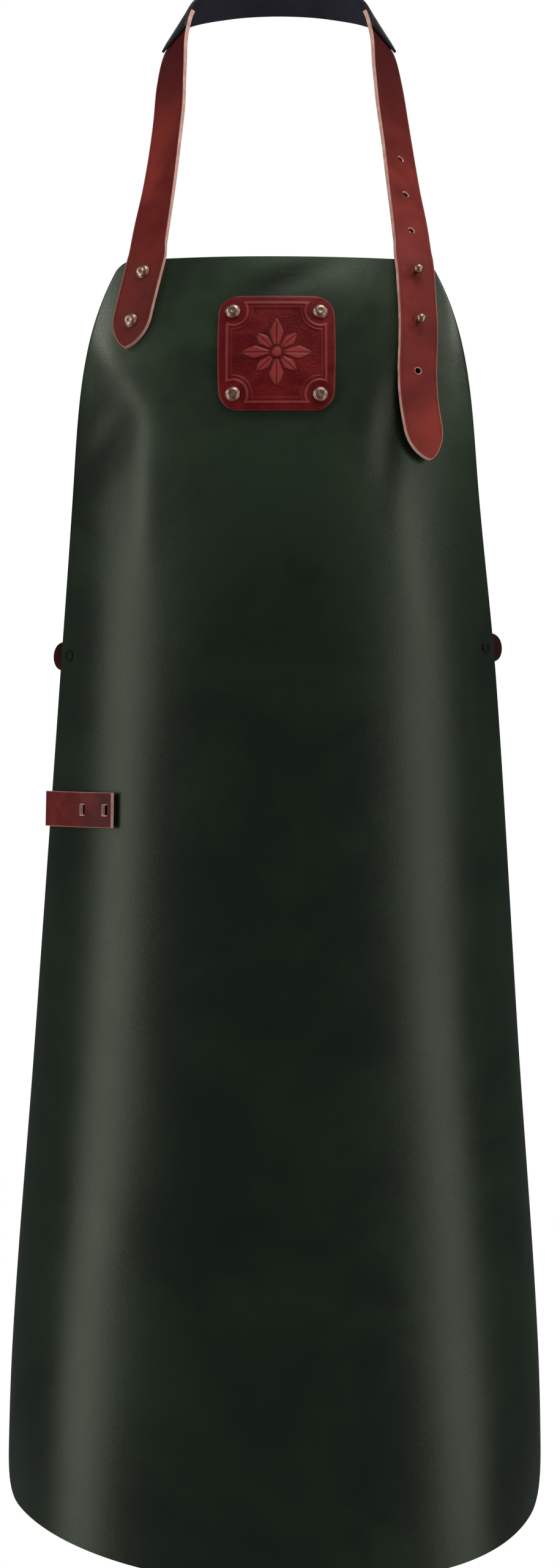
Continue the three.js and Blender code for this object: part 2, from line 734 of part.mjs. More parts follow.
function addClasp() {
  const plate = new THREE.ExtrudeGeometry(claspOutline(), { depth: claspThickness, bevelEnabled: false, curveSegments: 4 });
  const plateFace = waistThickness + seatGap; // from the straps' inner face to the plate
  const seat = claspPegSeat(0).point;
  plate.rotateX(Math.PI / 2).translate(seat.x, seat.y + plateFace + claspThickness, seat.z);
  const pegs = [-1, 1].map((side) => {
    const profile = [
      [0, -seatGap - flatHeadHeight],
      [flatHeadDiameter / 2, -seatGap - flatHeadHeight],
      [flatHeadDiameter / 2, -seatGap],
      [shankDiameter / 2, -seatGap],
      [shankDiameter / 2, plateFace + claspThickness / 2],
      [0, plateFace + claspThickness / 2],
    ];
    const peg = new THREE.LatheGeometry(profile.map(([x, y]) => new THREE.Vector2(x, y)), roundSides);
    return placeAlong(peg, claspPegSeat(side));
  });
  const joined = pegs.reduce((solid, peg) => solid.add(toSolid(peg)), toSolid(plate));
  add('waist_clasp', toGeometry(joined), materials.clasp);
}

// The panel, punched for every fastener that passes through it

function panelGeometry() {
  const top = count(cornerSteps).map((step) => {
    const angle = (step / cornerSteps) * (Math.PI / 2);
    return { drop: bibCorner * (1 - Math.cos(angle)), inset: bibCorner * (1 - Math.sin(angle)) };
  });
  const upper = count(leanRows).map((step) => ({ drop: between(bibCorner, leanRowsTo, step / leanRows), inset: 0 }));
  const lower = count(plainRows + 1).map((step) => ({
    drop: between(leanRowsTo, panelLength - hemCorner, step / plainRows),
    inset: 0,
  }));
  const bottom = count(cornerSteps).map((step) => {
    const angle = (step / cornerSteps) * (Math.PI / 2);
    return { drop: panelLength - hemCorner * (1 - Math.cos(angle)), inset: hemCorner * (1 - Math.sin(angle)) };
  });
  const rows = [...top, ...upper, ...lower, ...bottom.reverse()];
  const face = (height) =>
    rows.map(({ drop, inset }) => {
      const shoulder = bibShoulder * Math.max(0, 1 - drop / bibShoulderLength) ** 3;
      const side = 1 - (inset + shoulder) / halfGirth(drop);
      return count(panelColumns + 1).map((column) => {
        const share = between(-side, side, column / panelColumns);
        const curve = share < 0 ? hemCurve.left : hemCurve.right;
        const raised = drop - hemRise * Math.abs(share) ** curve * (drop / panelLength) ** 4;
        return panelSeat(share * halfGirth(raised), raised, height).point;
      });
    });
  return sheetGeometry(face(-panelThickness), face(0));
}

function addPanel() {
  const tabSeats = [
    [-1, leftTabDrop],
    [1, rightTabDrop],
  ].map(([side, drop]) => panelSeat(side * (halfGirth(drop) - tabRivetInset), drop));
  const seats = [...fixedRivetSeats, ...studSeats, ...patchRivetSeats, loopRivetSeat(), ...tabSeats];
  const punches = seats.map((seat) => punch(seat, shankHole, 4 * panelThickness));
  add('apron_panel', cutWith(panelGeometry(), punches), materials.panel);
}

addPanel();
addNeckStraps();
addStrapFasteners();
addPatch();
addTowelLoop();
addWaistSide('left', -1, leftTabDrop);
addWaistSide('right', 1, rightTabDrop);
addClasp();

export default object;
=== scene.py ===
"""Dresses the leather apron: smooth leather pieces, tooling, rivets, finishes, light and camera.

Sizes are in millimetres up to the moment a mesh is written, and each piece lies where its solid does.
"""

import math

import bmesh
import bpy
from mathutils import Matrix, Quaternion, Vector, noise

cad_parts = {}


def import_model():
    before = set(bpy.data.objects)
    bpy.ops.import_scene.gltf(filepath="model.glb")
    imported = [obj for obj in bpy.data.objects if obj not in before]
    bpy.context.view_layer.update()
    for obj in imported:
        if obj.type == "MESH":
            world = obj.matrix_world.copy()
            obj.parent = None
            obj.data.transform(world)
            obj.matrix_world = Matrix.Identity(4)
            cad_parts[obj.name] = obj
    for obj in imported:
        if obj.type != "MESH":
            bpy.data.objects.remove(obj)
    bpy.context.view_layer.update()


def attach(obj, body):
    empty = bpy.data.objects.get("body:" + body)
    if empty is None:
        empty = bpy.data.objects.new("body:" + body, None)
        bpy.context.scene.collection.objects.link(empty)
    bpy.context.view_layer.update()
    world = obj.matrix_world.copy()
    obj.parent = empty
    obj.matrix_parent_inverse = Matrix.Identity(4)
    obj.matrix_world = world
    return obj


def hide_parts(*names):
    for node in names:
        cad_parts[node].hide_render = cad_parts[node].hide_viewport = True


MM = 0.001
UP = Vector((0, 0, 1))


def table(names, *rows):
    """Rows of numbers as records under the names of their columns."""
    return [dict(zip(names.split(), row)) for row in rows]


# Seats and gaps
SEAT_GAP = 0.3
LINING_GAP = 0.5

# Panel
NAPE_TO_BIB = 207.6
NAPE_TO_FRONT = 258
PANEL_LENGTH = 894
PANEL_HALF_WIDTH = 187
PANEL_THICKNESS = 2
BIB_SETBACK = 39
LEAN_LENGTH = 263
BIB_CORNER = 8
BIB_SHOULDER = 30
BIB_SHOULDER_LENGTH = 150
HEM_RISE = 50
HEM_CURVE_LEFT = 2
HEM_CURVE_RIGHT = 3.5
HEM_CORNER = 30

# Neck straps and band
STRAP_WIDTH = 28
STRAP_THICKNESS = 3
FIXED_SEAT = 89.5
FIXED_FOOT = 105
FIXED_LENGTH = 63
FIXED_RIVET_DROP = 11
FIXED_RIVET_PITCH = 36
TIP_LENGTH = 23
TIP_FULLNESS = 0.7
ADJUSTER_SEAT = 96.4
TAIL_LENGTH = 141
TAIL_LIFT = 6
HOLE_PITCH = 36.6
HOLE_DIAMETER = 4.2
FIRST_STUD_DROP = 10.5
HOLES_ABOVE_STUDS = 3
HOLES_BELOW_STUDS = 1
STUD_COUNT = 2
BAND_WIDTH = 30
BAND_THICKNESS = 2
BAND_OVERLAP = 26
BAND_START = 6
NAPE_TILT = 25

# Patch
PATCH_WIDTH = 76.5
PATCH_HEIGHT = 81
PATCH_BULGE = 1.4
PATCH_CORNER = 13
PATCH_THICKNESS = 3
PATCH_DROP = 69
PATCH_SHIFT = 0.7
PATCH_RIVET_SPACING = 58.5

# Towel loop
LOOP_WIDTH = 24
LOOP_THICKNESS = 2.6
LOOP_DROP = 376
LOOP_TILT = 1
LOOP_FRONT = 68
LOOP_BACK = 42
LOOP_STANDOFF = 3
LOOP_RIVET_INSET = 24
SLOT_WIDTH = 4
SLOT_HEIGHT = 7.5
SLOT_INSET = 6
SLOT_PITCH = 19

# Waist
TAB_WIDTH = 20
TAB_THICKNESS = 3
TAB_OVERHANG = 19
TAB_HOLD = 34
LEFT_TAB_DROP = 271
RIGHT_TAB_DROP = 265
TAB_RIVET_INSET = 9.5
WAIST_WIDTH = 20
WAIST_THICKNESS = 2.5
WAIST_HOLD = 29
WAIST_LEAVE = 4.5
WAIST_HALF_WIDTH = 143
WAIST_DEPTH = 240
TAB_DEPTH = PANEL_THICKNESS + LINING_GAP + TAB_THICKNESS
WAIST_SEAT_DEPTH = TAB_DEPTH + LINING_GAP + WAIST_THICKNESS
CLASP_LENGTH = 46
CLASP_HEIGHT = 26
CLASP_THICKNESS = 2.4
CLASP_CORNER = 6
CLASP_PEG_SPREAD = 12
CLASP_MARGIN = 3

# Rivets
SHANK_DIAMETER = 4
RIVET_DIAMETER = 10
RIVET_HEIGHT = 2.4
TAIL_DIAMETER = 9
TAIL_HEIGHT = 1.1
FLAT_HEAD_DIAMETER = 8
FLAT_HEAD_HEIGHT = 1.1
STUD_BALL = 7
STUD_NECK = 3.6
STUD_NECK_LENGTH = 0.8

# The part's tables. The panel's cross-sections: drop is a share of its length, half, depth and drift are shares of its
# half width, and wrap is the angle at which its side edge lies.
PANEL_SECTIONS = table(
    "drop half depth drift wrap",
    (0.0, 0.7, 0.63, -0.016, 49.5),
    (0.16, 0.736, 0.64, -0.016, 54),
    (0.32, 0.801, 0.57, -0.007, 67),
    (0.6, 0.898, 0.6, -0.013, 80),
    (0.84, 0.982, 0.625, -0.018, 85),
    (1.0, 1.0, 0.63, -0.022, 86),
)
# The tail on the bib, as shares of its length, the strap's width and its lift.
TAIL_SECTIONS = table(
    "down out lift",
    (1.0, 0.3, 1.0),
    (0.92, 0.22, 0.8),
    (0.8, 0.125, 0.52),
    (0.68, 0.065, 0.3),
    (0.56, 0.06, 0.13),
    (0.44, 0.09, 0.04),
    (0.3, 0.1, 0),
    (0.18, 0.07, 0),
    (0.07, 0.04, 0),
    (0.0, 0, 0),
)
# The straps' way to the nape. left, right, back and rise are shares of the way, turn and tilt are degrees.
NECK_SECTIONS = table(
    "left right back rise turn tilt",
    (0.99, 0.992, 0.031, 0.037, 31, 30),
    (0.962, 0.972, 0.115, 0.128, 36, 35),
    (0.918, 0.934, 0.234, 0.258, 43, 32),
    (0.884, 0.901, 0.356, 0.39, 47, 30),
    (0.857, 0.866, 0.478, 0.524, 48.5, 30),
    (0.845, 0.835, 0.604, 0.66, 52, 27),
    (0.808, 0.79, 0.752, 0.806, 66, 26),
    (0.7, 0.68, 0.893, 0.909, 95, 36),
    (0.396, 0.381, 0.975, 0.975, 139, 32),
)
# The waist straps' way round the back, as shares of the waist's half width and depth, and the face's turn in degrees.
WAIST_SECTIONS = table(
    "side back turn",
    (1.0, 0.4, 92),
    (0.985, 0.55, 99),
    (0.9, 0.73, 118),
    (0.72, 0.88, 142),
    (0.46, 0.965, 163),
    (0.2, 1.0, 180),
    (0.1, 1.0, 180),
)
# The loop's front leaf, as shares of its length and of its standoff.
LEAF_SECTIONS = table(
    "along lift",
    (0, 1.0),
    (0.35, 0.94),
    (0.65, 0.76),
    (0.85, 0.45),
    (1, 0.2),
)
# Soft folds of the bib: place from the middle line and down, direction in degrees, half length and half width, how
# deep it is pressed in, and tone, how far painted light makes its leather paler (and, below zero, how far painted
# shade in the fold makes it darker).
FOLDS = table(
    "arc drop turn long wide deep tone",
    (-119, 56, 75, 34, 20, -0.8, 0.9),
    (-112, 80, 51, 42, 14, -1.7, 0.4),
    (-91, 150, 90, 60, 15, -1.5, 0.3),
    (-126, 132, 132, 38, 14, 1.5, -0.9),
    (79, 118, 97, 40, 10, 1.3, -1.2),
    (92, 196, 80, 55, 20, -0.9, 0.3),
    (127, 54, 86, 34, 11, -1.2, 1.2),
    (66, 18, 0, 28, 13, -0.6, 0.5),
    (4, 18, -19, 34, 9, 1.0, -0.9),
)
FOLDS_END = 420

# Cells of the meshes
PANEL_ROWS = 170
PANEL_COLUMNS = 110
PANEL_CORNER_ROWS = 12
PATCH_ROWS = 122
PATCH_COLUMNS = 165
PATCH_CORNER_ROWS = 24
STRIP_ROW = 3.0
STRIP_COLUMNS = 12
EDGE_CROWDING = 1.6
FIXED_STEPS = 8

# Finishes: dark and light tones in linear RGB, then what else sets one apart
RED_RUBBED = (0.55, 0.27, 0.21)
RED_TONES = ((0.132, 0.0115, 0.0095), (0.29, 0.036, 0.023))
STRAP_LOOK = {"groove": (2.2, STRAP_WIDTH / 2), "rubbed": RED_RUBBED, "cloud": 9.0}
# The patch's paler colour on its rim and raised lines: wear, and on the ridges a painted highlight as well.
PATCH_LOOK = {"rough": 0.36, "specular": 0.2, "cloud": 45.0, "rubbed": (0.36, 0.05, 0.042)}
SMOOTH_LEATHERS = {
    "red_leather": (*RED_TONES, STRAP_LOOK),
    "fixed_red_leather": (*RED_TONES, {"foot": -0.16, **STRAP_LOOK}),
    "loop_leather": ((0.075, 0.008, 0.009), (0.19, 0.024, 0.021), {"cloud": 22.0, "rubbed": RED_RUBBED}),
    # The waist tabs' red leather, painted near-black as painted shade at the panel's sides.
    "dark_red_leather": ((0.01, 0.001, 0.001), (0.03, 0.003, 0.003), {}),
    "patch_leather": ((0.095, 0.003, 0.004), (0.17, 0.007, 0.008), PATCH_LOOK),
    "black_leather": ((0.024, 0.023, 0.034), (0.04, 0.038, 0.056), {"rough": 0.65}),
    "black_face_leather": ((0.007, 0.007, 0.01), (0.013, 0.012, 0.018), {"rough": 0.6}),
}
CUT_EDGES = {
    "green_cut_edge": ((0.004, 0.006, 0.004), (0.012, 0.016, 0.011)),
    "red_cut_edge": (RED_RUBBED, (0.82, 0.52, 0.43)),
    # The slots' walls: the loop's cut edge painted paler, as painted light falling into the slots.
    "slot_cut_edge": ((0.75, 0.45, 0.38), (0.9, 0.66, 0.56)),
    # The cut edges of the waist tabs and straps, painted dark as painted shade.
    "dark_cut_edge": ((0.03, 0.012, 0.011), (0.12, 0.055, 0.05)),
    "patch_cut_edge": ((0.25, 0.09, 0.07), (0.45, 0.22, 0.17)),
    "black_cut_edge": ((0.004, 0.004, 0.005), (0.012, 0.011, 0.014)),
    # The punched holes' inner walls: cut edge painted dark, as painted shade inside the holes.
    "hole_wall": ((0.07, 0.014, 0.011), (0.16, 0.04, 0.03)),
}
FLESH_SIDES = {
    "green_flesh_side": ((0.027, 0.038, 0.027), (0.062, 0.076, 0.056)),
    "red_flesh_side": ((0.1, 0.04, 0.028), (0.19, 0.09, 0.065)),
}
METALS = {
    "antique_copper": ((0.14, 0.062, 0.042), (0.62, 0.41, 0.32), 0.27),
    "blackened_steel": ((0.014, 0.018, 0.014), (0.03, 0.036, 0.03), 0.45),
    "antique_brass": ((0.15, 0.1, 0.06), (0.5, 0.38, 0.24), 0.3),
}

# Stage, in metres, degrees and watts
SIDE_LIGHT_REACH = 2.3
SIDE_LIGHTS = (
    ("left_box", -1, 63.5, -0.7, 0.75, 2.7, 24, 22),
    ("right_box", 1, 59, -0.7, 0.75, 2.7, 19, 22),
    ("left_high_box", -1, 82, 1.15, 0.6, 0.7, 12, 0),
    ("right_high_box", 1, 86, 1.1, 0.6, 0.7, 12, 0),
)
WORLD_GLOW = 0.07
FLOOR_LEVEL = -1.4
CAMERA_DISTANCE = 2.5
CAMERA_LEVEL = -0.5663
CAMERA_LENS = 85.78
SENSOR_WIDTH = 36


def mix(start, end, share):
    return start + (end - start) * share


def quarter(steps):
    return [step / steps * math.pi / 2 for step in range(steps)]


def smooth_column(rows, key, name, at):
    """A column of a table between its rows, on a smooth curve through them."""
    last = len(rows) - 1
    first = 0
    while first < last - 1 and rows[first + 1][key] < at:
        first += 1

    def slope(index):
        before, after = rows[max(index - 1, 0)], rows[min(index + 1, last)]
        return (after[name] - before[name]) / (after[key] - before[key])

    start, end = rows[first], rows[first + 1]
    span = end[key] - start[key]
    share = (at - start[key]) / span
    rest = 1 - share
    return (
        (1 + 2 * share) * rest * rest * start[name]
        + share * rest * rest * span * slope(first)
        + (1 + 2 * rest) * share * share * end[name]
        - rest * share * share * span * slope(first + 1)
    )


def facing(side, turn, tilt):
    """A direction turned from the front round to a side, and tilted up."""
    turn, tilt = math.radians(turn), math.radians(tilt)
    level = math.cos(tilt)
    return Vector((side * math.sin(turn) * level, -math.cos(turn) * level, math.sin(tilt)))


# The panel's surface


def section_at(drop):
    """The panel's ellipse at a drop: its half width and depth, where its middle lies and how far the panel wraps it."""
    half, depth, drift, wrap = (
        smooth_column(PANEL_SECTIONS, "drop", name, drop / PANEL_LENGTH) for name in ("half", "depth", "drift", "wrap")
    )
    wrap = math.radians(wrap)
    return {
        "wrap": wrap,
        "wide": half * PANEL_HALF_WIDTH / math.sin(wrap),
        "deep": depth * PANEL_HALF_WIDTH,
        "middle": drift * PANEL_HALF_WIDTH,
    }


def arc_speed(section, angle):
    """How fast the length along the section grows with the angle."""
    return math.hypot(section["wide"] * math.cos(angle), section["deep"] * math.sin(angle))


def arc_to(section, angle, steps=24):
    return sum(arc_speed(section, angle * (step + 0.5) / steps) for step in range(steps)) * angle / steps


def angle_at(section, arc):
    angle = arc / section["wide"]
    for _ in range(3):
        angle -= (arc_to(section, angle, 12) - arc) / arc_speed(section, angle)
    return angle


def half_girth(drop):
    """The length along the bow from the middle line to the side edge."""
    section = section_at(drop)
    return arc_to(section, section["wrap"])


def folds_at(name, arc, drop):
    """The sum of one column of the folds at a place of the panel."""
    total = 0.0
    for fold in FOLDS if drop < FOLDS_END else ():
        turn = math.radians(fold["turn"])
        off_arc, off_drop = arc - fold["arc"], drop - fold["drop"]
        along = (off_arc * math.cos(turn) + off_drop * math.sin(turn)) / fold["long"]
        across = (off_drop * math.cos(turn) - off_arc * math.sin(turn)) / fold["wide"]
        total += fold[name] * math.exp(-(along**2) - across**2)
    return total


def leather_wave(arc, drop):
    """Soft undulation of well-used leather, in millimetres out of the surface."""
    broad = noise.noise(Vector((arc / 150, drop / 210, 1.7)))
    folds = noise.noise(Vector(((arc + 0.5 * drop) / 75, (drop - 0.35 * arc) / 150, 8.3)))
    bib = max(0, 1 - drop / 330)
    beside = min(1, abs(arc) / 110) ** 2
    return (0.35 + 0.65 * beside) * broad + (0.1 + 0.15 * beside + 0.6 * bib) * folds - folds_at("deep", arc, drop)


def panel_point(arc, drop):
    """The outer face's point at a length along the bow from the middle line, and a drop below the bib's top."""
    section = section_at(drop)
    angle = angle_at(section, arc)
    lean = BIB_SETBACK * max(0, 1 - drop / LEAN_LENGTH) ** 3
    wave = leather_wave(arc, drop)
    return Vector(
        (
            section["middle"] + section["wide"] * math.sin(angle),
            -NAPE_TO_FRONT + lean + section["deep"] * (1 - math.cos(angle)) - wave,
            -NAPE_TO_BIB - drop,
        )
    )


def panel_seat(arc, drop, lift=0.0):
    """A place on the outer face, lifted off it, and its outward direction."""
    reach = 0.5
    right = panel_point(arc + reach, drop) - panel_point(arc - reach, drop)
    down = panel_point(arc, drop + reach) - panel_point(arc, drop - reach)
    out = down.cross(right).normalized()
    return panel_point(arc, drop) + out * lift, out


# Tracks that straps follow


def on_curve(points, share):
    """The centripetal curve through the points that the part's straps follow too."""
    last = len(points) - 1
    place = share * last
    index = min(int(place), last - 1)
    weight = place - index
    middle = [points[index], points[index + 1]]
    before = points[index - 1] if index > 0 else 2 * points[0] - points[1]
    after = points[index + 2] if index + 2 <= last else 2 * points[last] - points[last - 1]
    knots = [before, *middle, after]
    gaps = [(knots[step + 1] - knots[step]).length ** 0.5 for step in range(3)]
    gaps[1] = gaps[1] if gaps[1] > 1e-4 else 1.0
    gaps[0] = gaps[0] if gaps[0] > 1e-4 else gaps[1]
    gaps[2] = gaps[2] if gaps[2] > 1e-4 else gaps[1]

    def slope(first):
        a, b, c = knots[first : first + 3]
        near, far = gaps[first], gaps[first + 1]
        return ((b - a) / near - (c - a) / (near + far) + (c - b) / far) * gaps[1]

    start, end = slope(0), slope(1)
    cubic = 2 * middle[0] - 2 * middle[1] + start + end
    square = -3 * middle[0] + 3 * middle[1] - 2 * start - end
    return middle[0] + start * weight + square * weight**2 + cubic * weight**3


class Track:
    """The line that a strap's lining face follows, with the outward direction along it."""

    PER_STATION = 40

    def __init__(self, stations):
        self.points = [Vector(point) for point, _ in stations]
        self.outs = [Vector(out) for _, out in stations]
        steps = self.PER_STATION * (len(stations) - 1)
        places = [on_curve(self.points, step / steps) for step in range(steps + 1)]
        self.lengths = [0.0]
        for start, end in zip(places, places[1:]):
            self.lengths.append(self.lengths[-1] + (end - start).length)
        self.length = self.lengths[-1]

    def distance_to(self, station):
        return self.lengths[station * self.PER_STATION]

    def share_at(self, distance):
        """How far round the curve's own parameter a length lies."""
        low, high = 0, len(self.lengths) - 1
        while high - low > 1:
            middle = (low + high) // 2
            low, high = (middle, high) if self.lengths[middle] <= distance else (low, middle)
        span = self.lengths[high] - self.lengths[low]
        return (low + (distance - self.lengths[low]) / span) / (len(self.lengths) - 1)

    def at(self, distance):
        """The point at a length, with the directions along the strap, out of its face and across it."""
        share = self.share_at(min(max(distance, 0), self.length))
        point = on_curve(self.points, share)
        step = 1e-4
        along = on_curve(self.points, min(share + step, 1)) - on_curve(self.points, max(share - step, 0))
        along.normalize()
        out = on_curve(self.outs, share)
        out = (out - along * out.dot(along)).normalized()
        return {"point": point, "along": along, "out": out, "across": along.cross(out)}


def neck_track():
    """One track for both neck straps and the band: up the fixed strap, round the nape and down the adjustable one."""
    fixed = []
    for step in range(FIXED_STEPS + 1):
        share = 1 - step / FIXED_STEPS
        fixed.append(panel_seat(-mix(FIXED_SEAT, FIXED_FOOT, share), FIXED_LENGTH * share, SEAT_GAP))
    tail = []
    for row in TAIL_SECTIONS:
        arc, lift = ADJUSTER_SEAT + row["out"] * STRAP_WIDTH, SEAT_GAP + row["lift"] * TAIL_LIFT
        tail.append(panel_seat(arc, row["down"] * TAIL_LENGTH, lift))
    nape_out = facing(1, 180, NAPE_TILT)
    nape_up = Vector((0, -math.sin(math.radians(NAPE_TILT)), math.cos(math.radians(NAPE_TILT))))
    nape = nape_up * (BAND_WIDTH / 2) - nape_out * (STRAP_THICKNESS + LINING_GAP)

    def free_run(side, name, foot):
        return [
            (
                Vector((row[name] * foot.x, mix(foot.y, nape.y, row["back"]), mix(foot.z, nape.z, row["rise"]))),
                facing(side, row["turn"], row["tilt"]),
            )
            for row in NECK_SECTIONS
        ]

    left = free_run(-1, "left", fixed[-1][0])
    right = free_run(1, "right", tail[-1][0])[::-1]
    track = Track([*fixed, *left, (nape, nape_out), *right, *tail[::-1]])
    before_nape = len(fixed) + len(left)
    return {
        "track": track,
        "fixed_edge": track.distance_to(FIXED_STEPS),
        "band_from": track.distance_to(len(fixed) + BAND_START),
        "band_to": track.distance_to(before_nape + len(right) - BAND_START),
        "adjuster_edge": track.distance_to(before_nape + 1 + len(right)),
    }


# Meshes


def link(thing):
    bpy.context.scene.collection.objects.link(thing)
    return thing


def as_object(name, bm):
    mesh = bpy.data.meshes.new(name)
    bm.to_mesh(mesh)
    bm.free()
    return link(bpy.data.objects.new(name, mesh))


def shaped_grid(name, rows, columns, place, flat, wear_and_painted_light_at):
    """A grid of cells moved onto a surface.

    place gives a point and its outward direction, flat its UV in millimetres, and the third function a share that the
    leather reads as an attribute: wear on the straps' edges and the patch's rim, wear with painted highlight on the
    patch's raised lines, and on the panel the painted light (above zero) and painted shade (below zero) of its folds.
    """
    bm = bmesh.new()
    uv_layer = bm.loops.layers.uv.new("flat")
    last = len(rows) - 1
    bmesh.ops.create_grid(bm, x_segments=columns, y_segments=last, size=0.5)
    # This attribute holds wear on the straps and the patch, and painted light and shade on the panel's folds.
    rubbed = bm.verts.layers.float.new("rubbed")
    spots = {}
    outs = {}
    for vert in bm.verts:
        row, column = rows[round((vert.co.y + 0.5) * last)], vert.co.x + 0.5
        vert[rubbed] = wear_and_painted_light_at(row, column)
        point, outs[vert] = place(row, column)
        spots[vert] = flat(row, column)
        vert.co = point * MM
    for face in bm.faces:
        for loop in face.loops:
            loop[uv_layer].uv = [value * MM for value in spots[loop.vert]]
    bm.normal_update()
    bm.faces.ensure_lookup_table()
    middle = bm.faces[len(bm.faces) // 2]
    facing_in = middle.normal.dot(outs[middle.verts[0]]) < 0
    bmesh.ops.remove_doubles(bm, verts=bm.verts, dist=0.00002)
    if facing_in:
        bmesh.ops.reverse_faces(bm, faces=bm.faces)
    return as_object(name, bm)


def thicken(piece, thickness):
    """Gives an outer face its wall, with the second material on its cut edge and the third on its back."""
    wall = piece.modifiers.new("wall", "SOLIDIFY")
    wall.thickness = thickness * MM
    wall.offset = -1
    wall.use_even_offset = True
    wall.material_offset = 2
    wall.material_offset_rim = 1


def cut(piece, tools):
    for index, tool in enumerate(tools):
        hole = piece.modifiers.new(f"hole_{index}", "BOOLEAN")
        hole.operation = "DIFFERENCE"
        hole.solver = "EXACT"
        hole.material_mode = "TRANSFER"
        hole.object = tool


def soften(piece, radius, segments):
    edge = piece.modifiers.new("edge", "BEVEL")
    edge.width = radius * MM
    edge.segments = segments
    edge.limit_method = "ANGLE"
    edge.angle_limit = math.radians(40)
    edge.harden_normals = False


def settle(piece, tools):
    """Applies the modifiers, and takes the cutting tools away."""
    bpy.context.view_layer.update()
    graph = bpy.context.evaluated_depsgraph_get()
    mesh = bpy.data.meshes.new_from_object(piece.evaluated_get(graph))
    piece.modifiers.clear()
    piece.data = mesh
    mesh.shade_smooth()
    for tool in tools:
        bpy.data.objects.remove(tool)


def dress(piece, *names):
    for name in names:
        piece.data.materials.append(FINISHES[name])


def stand_for(piece, node):
    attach(piece, "root")
    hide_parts(node)


def complete(piece, materials, node, edge=0.5, segments=3, tools=()):
    """Dresses a piece, cuts its holes, rounds its edges and puts it in its node's place."""
    dress(piece, *materials)
    cut(piece, tools)
    if edge:
        soften(piece, edge, segments)
    settle(piece, tools)
    stand_for(piece, node)


def corner_rows(radius, steps):
    """A rounded corner: each row's distance from the end and how far its side is drawn in."""
    return [(radius * (1 - math.cos(angle)), radius * (1 - math.sin(angle))) for angle in quarter(steps)]


def round_end(length, fullness, steps=14):
    """A strap's rounded end: each row's distance from the tip and its share of the full width."""
    angles = [step / steps * math.pi / 2 for step in range(steps + 1)]
    return [(length * (1 - math.cos(angle)), math.sin(angle) ** (2 * fullness)) for angle in angles]


def gap_to(spot, start, end):
    """The distance from a spot to a straight piece of an outline."""
    side = end - start
    share = min(1, max(0, (spot - start).dot(side) / max(side.dot(side), 1e-9)))
    return (spot - start - side * share).length


SQUARE_END = [(0.0, 1.0)]


def strip(
    name, track, start, end, width, thickness, lift=0.0, start_shape=SQUARE_END, end_shape=SQUARE_END, step=STRIP_ROW
):
    """The outer face of a strip of leather along a track, ready for its wall."""
    first, last = start + start_shape[-1][0], end - end_shape[-1][0]
    steps = math.ceil((last - first) / step)
    rows = [(start + length, share) for length, share in start_shape[:-1]]
    rows += [(mix(first, last, index / steps), 1.0) for index in range(steps + 1)]
    rows += [(end - length, share) for length, share in end_shape[:-1]][::-1]
    frames = {distance: track.at(distance) for distance, _ in rows}
    outline = [Vector((0, start))] + [Vector((share * width / 2, distance)) for distance, share in rows]
    outline.append(Vector((0, end)))

    def flat(row, column):
        side = 2 * column - 1
        crowded = math.copysign(1 - (1 - abs(side)) ** EDGE_CROWDING, side)
        return (crowded * row[1] * width / 2, row[0])

    def place(row, column):
        frame = frames[row[0]]
        across = frame["across"] * flat(row, column)[0]
        return frame["point"] + frame["out"] * (lift + thickness) + across, frame["out"]

    def wear_and_painted_light_at(row, column):
        across, distance = flat(row, column)
        spot = Vector((abs(across), distance))
        gaps = [gap_to(spot, *pair) for pair in zip(outline, outline[1:]) if abs(pair[0].y - distance) < 6]
        return min(1, max(0, 1.2 - 1.3 * min(gaps)))

    piece = shaped_grid(name, rows, STRIP_COLUMNS, place, flat, wear_and_painted_light_at)
    thicken(piece, thickness)
    return piece


def block(size, axis, radius, segments):
    """A box about the origin whose edges along one axis are rounded."""
    bm = bmesh.new()
    bmesh.ops.create_cube(bm, size=1)
    corners = [edge for edge in bm.edges if abs((edge.verts[0].co - edge.verts[1].co)[axis]) > 0.5]
    bmesh.ops.transform(bm, matrix=Matrix.Diagonal((*(length * MM for length in size), 1)), verts=bm.verts)
    bmesh.ops.bevel(bm, geom=corners, offset=radius * MM, segments=segments, profile=0.5, affect="EDGES", material=-1)
    return bm


def set_down(bm, verts, point, turn):
    bmesh.ops.transform(bm, matrix=Matrix.Translation(point * MM) @ turn, verts=verts)


def slot_punch(frame):
    """A punch for a rounded slot, wider at the face than below it."""
    bm = block((SLOT_HEIGHT - 0.8, SLOT_WIDTH - 0.8, 3 * LOOP_THICKNESS), 2, 0.7, 4)
    for vert in bm.verts:
        vert.co.x *= 1.35 if vert.co.z > 0 else 0.65
        vert.co.y *= 1.75 if vert.co.z > 0 else 0.25
    turn = Matrix((frame["across"], frame["along"], frame["out"])).transposed().to_4x4()
    set_down(bm, bm.verts, frame["point"], turn)
    tool = as_object("slot", bm)
    # Painted light: the slot's walls get a paler cut-edge colour.
    dress(tool, "slot_cut_edge")
    return tool


def turned(name, profile, point, out, sides=40):
    """A turned piece from a profile of radius and height, spun about +Z, then set on a seat."""
    bm = bmesh.new()
    verts = [bm.verts.new((radius * MM, 0, height * MM)) for radius, height in profile]
    edges = [bm.edges.new(pair) for pair in zip(verts, verts[1:])]
    bmesh.ops.spin(
        bm, geom=verts + edges, cent=(0, 0, 0), axis=(0, 0, 1), angle=2 * math.pi, steps=sides, use_merge=True
    )
    bmesh.ops.remove_doubles(bm, verts=bm.verts, dist=0.00001)
    bmesh.ops.recalc_face_normals(bm, faces=bm.faces)
    set_down(bm, bm.verts, point, UP.rotation_difference(out).to_matrix().to_4x4())
    piece = as_object(name, bm)
    piece.data.shade_smooth()
    return piece


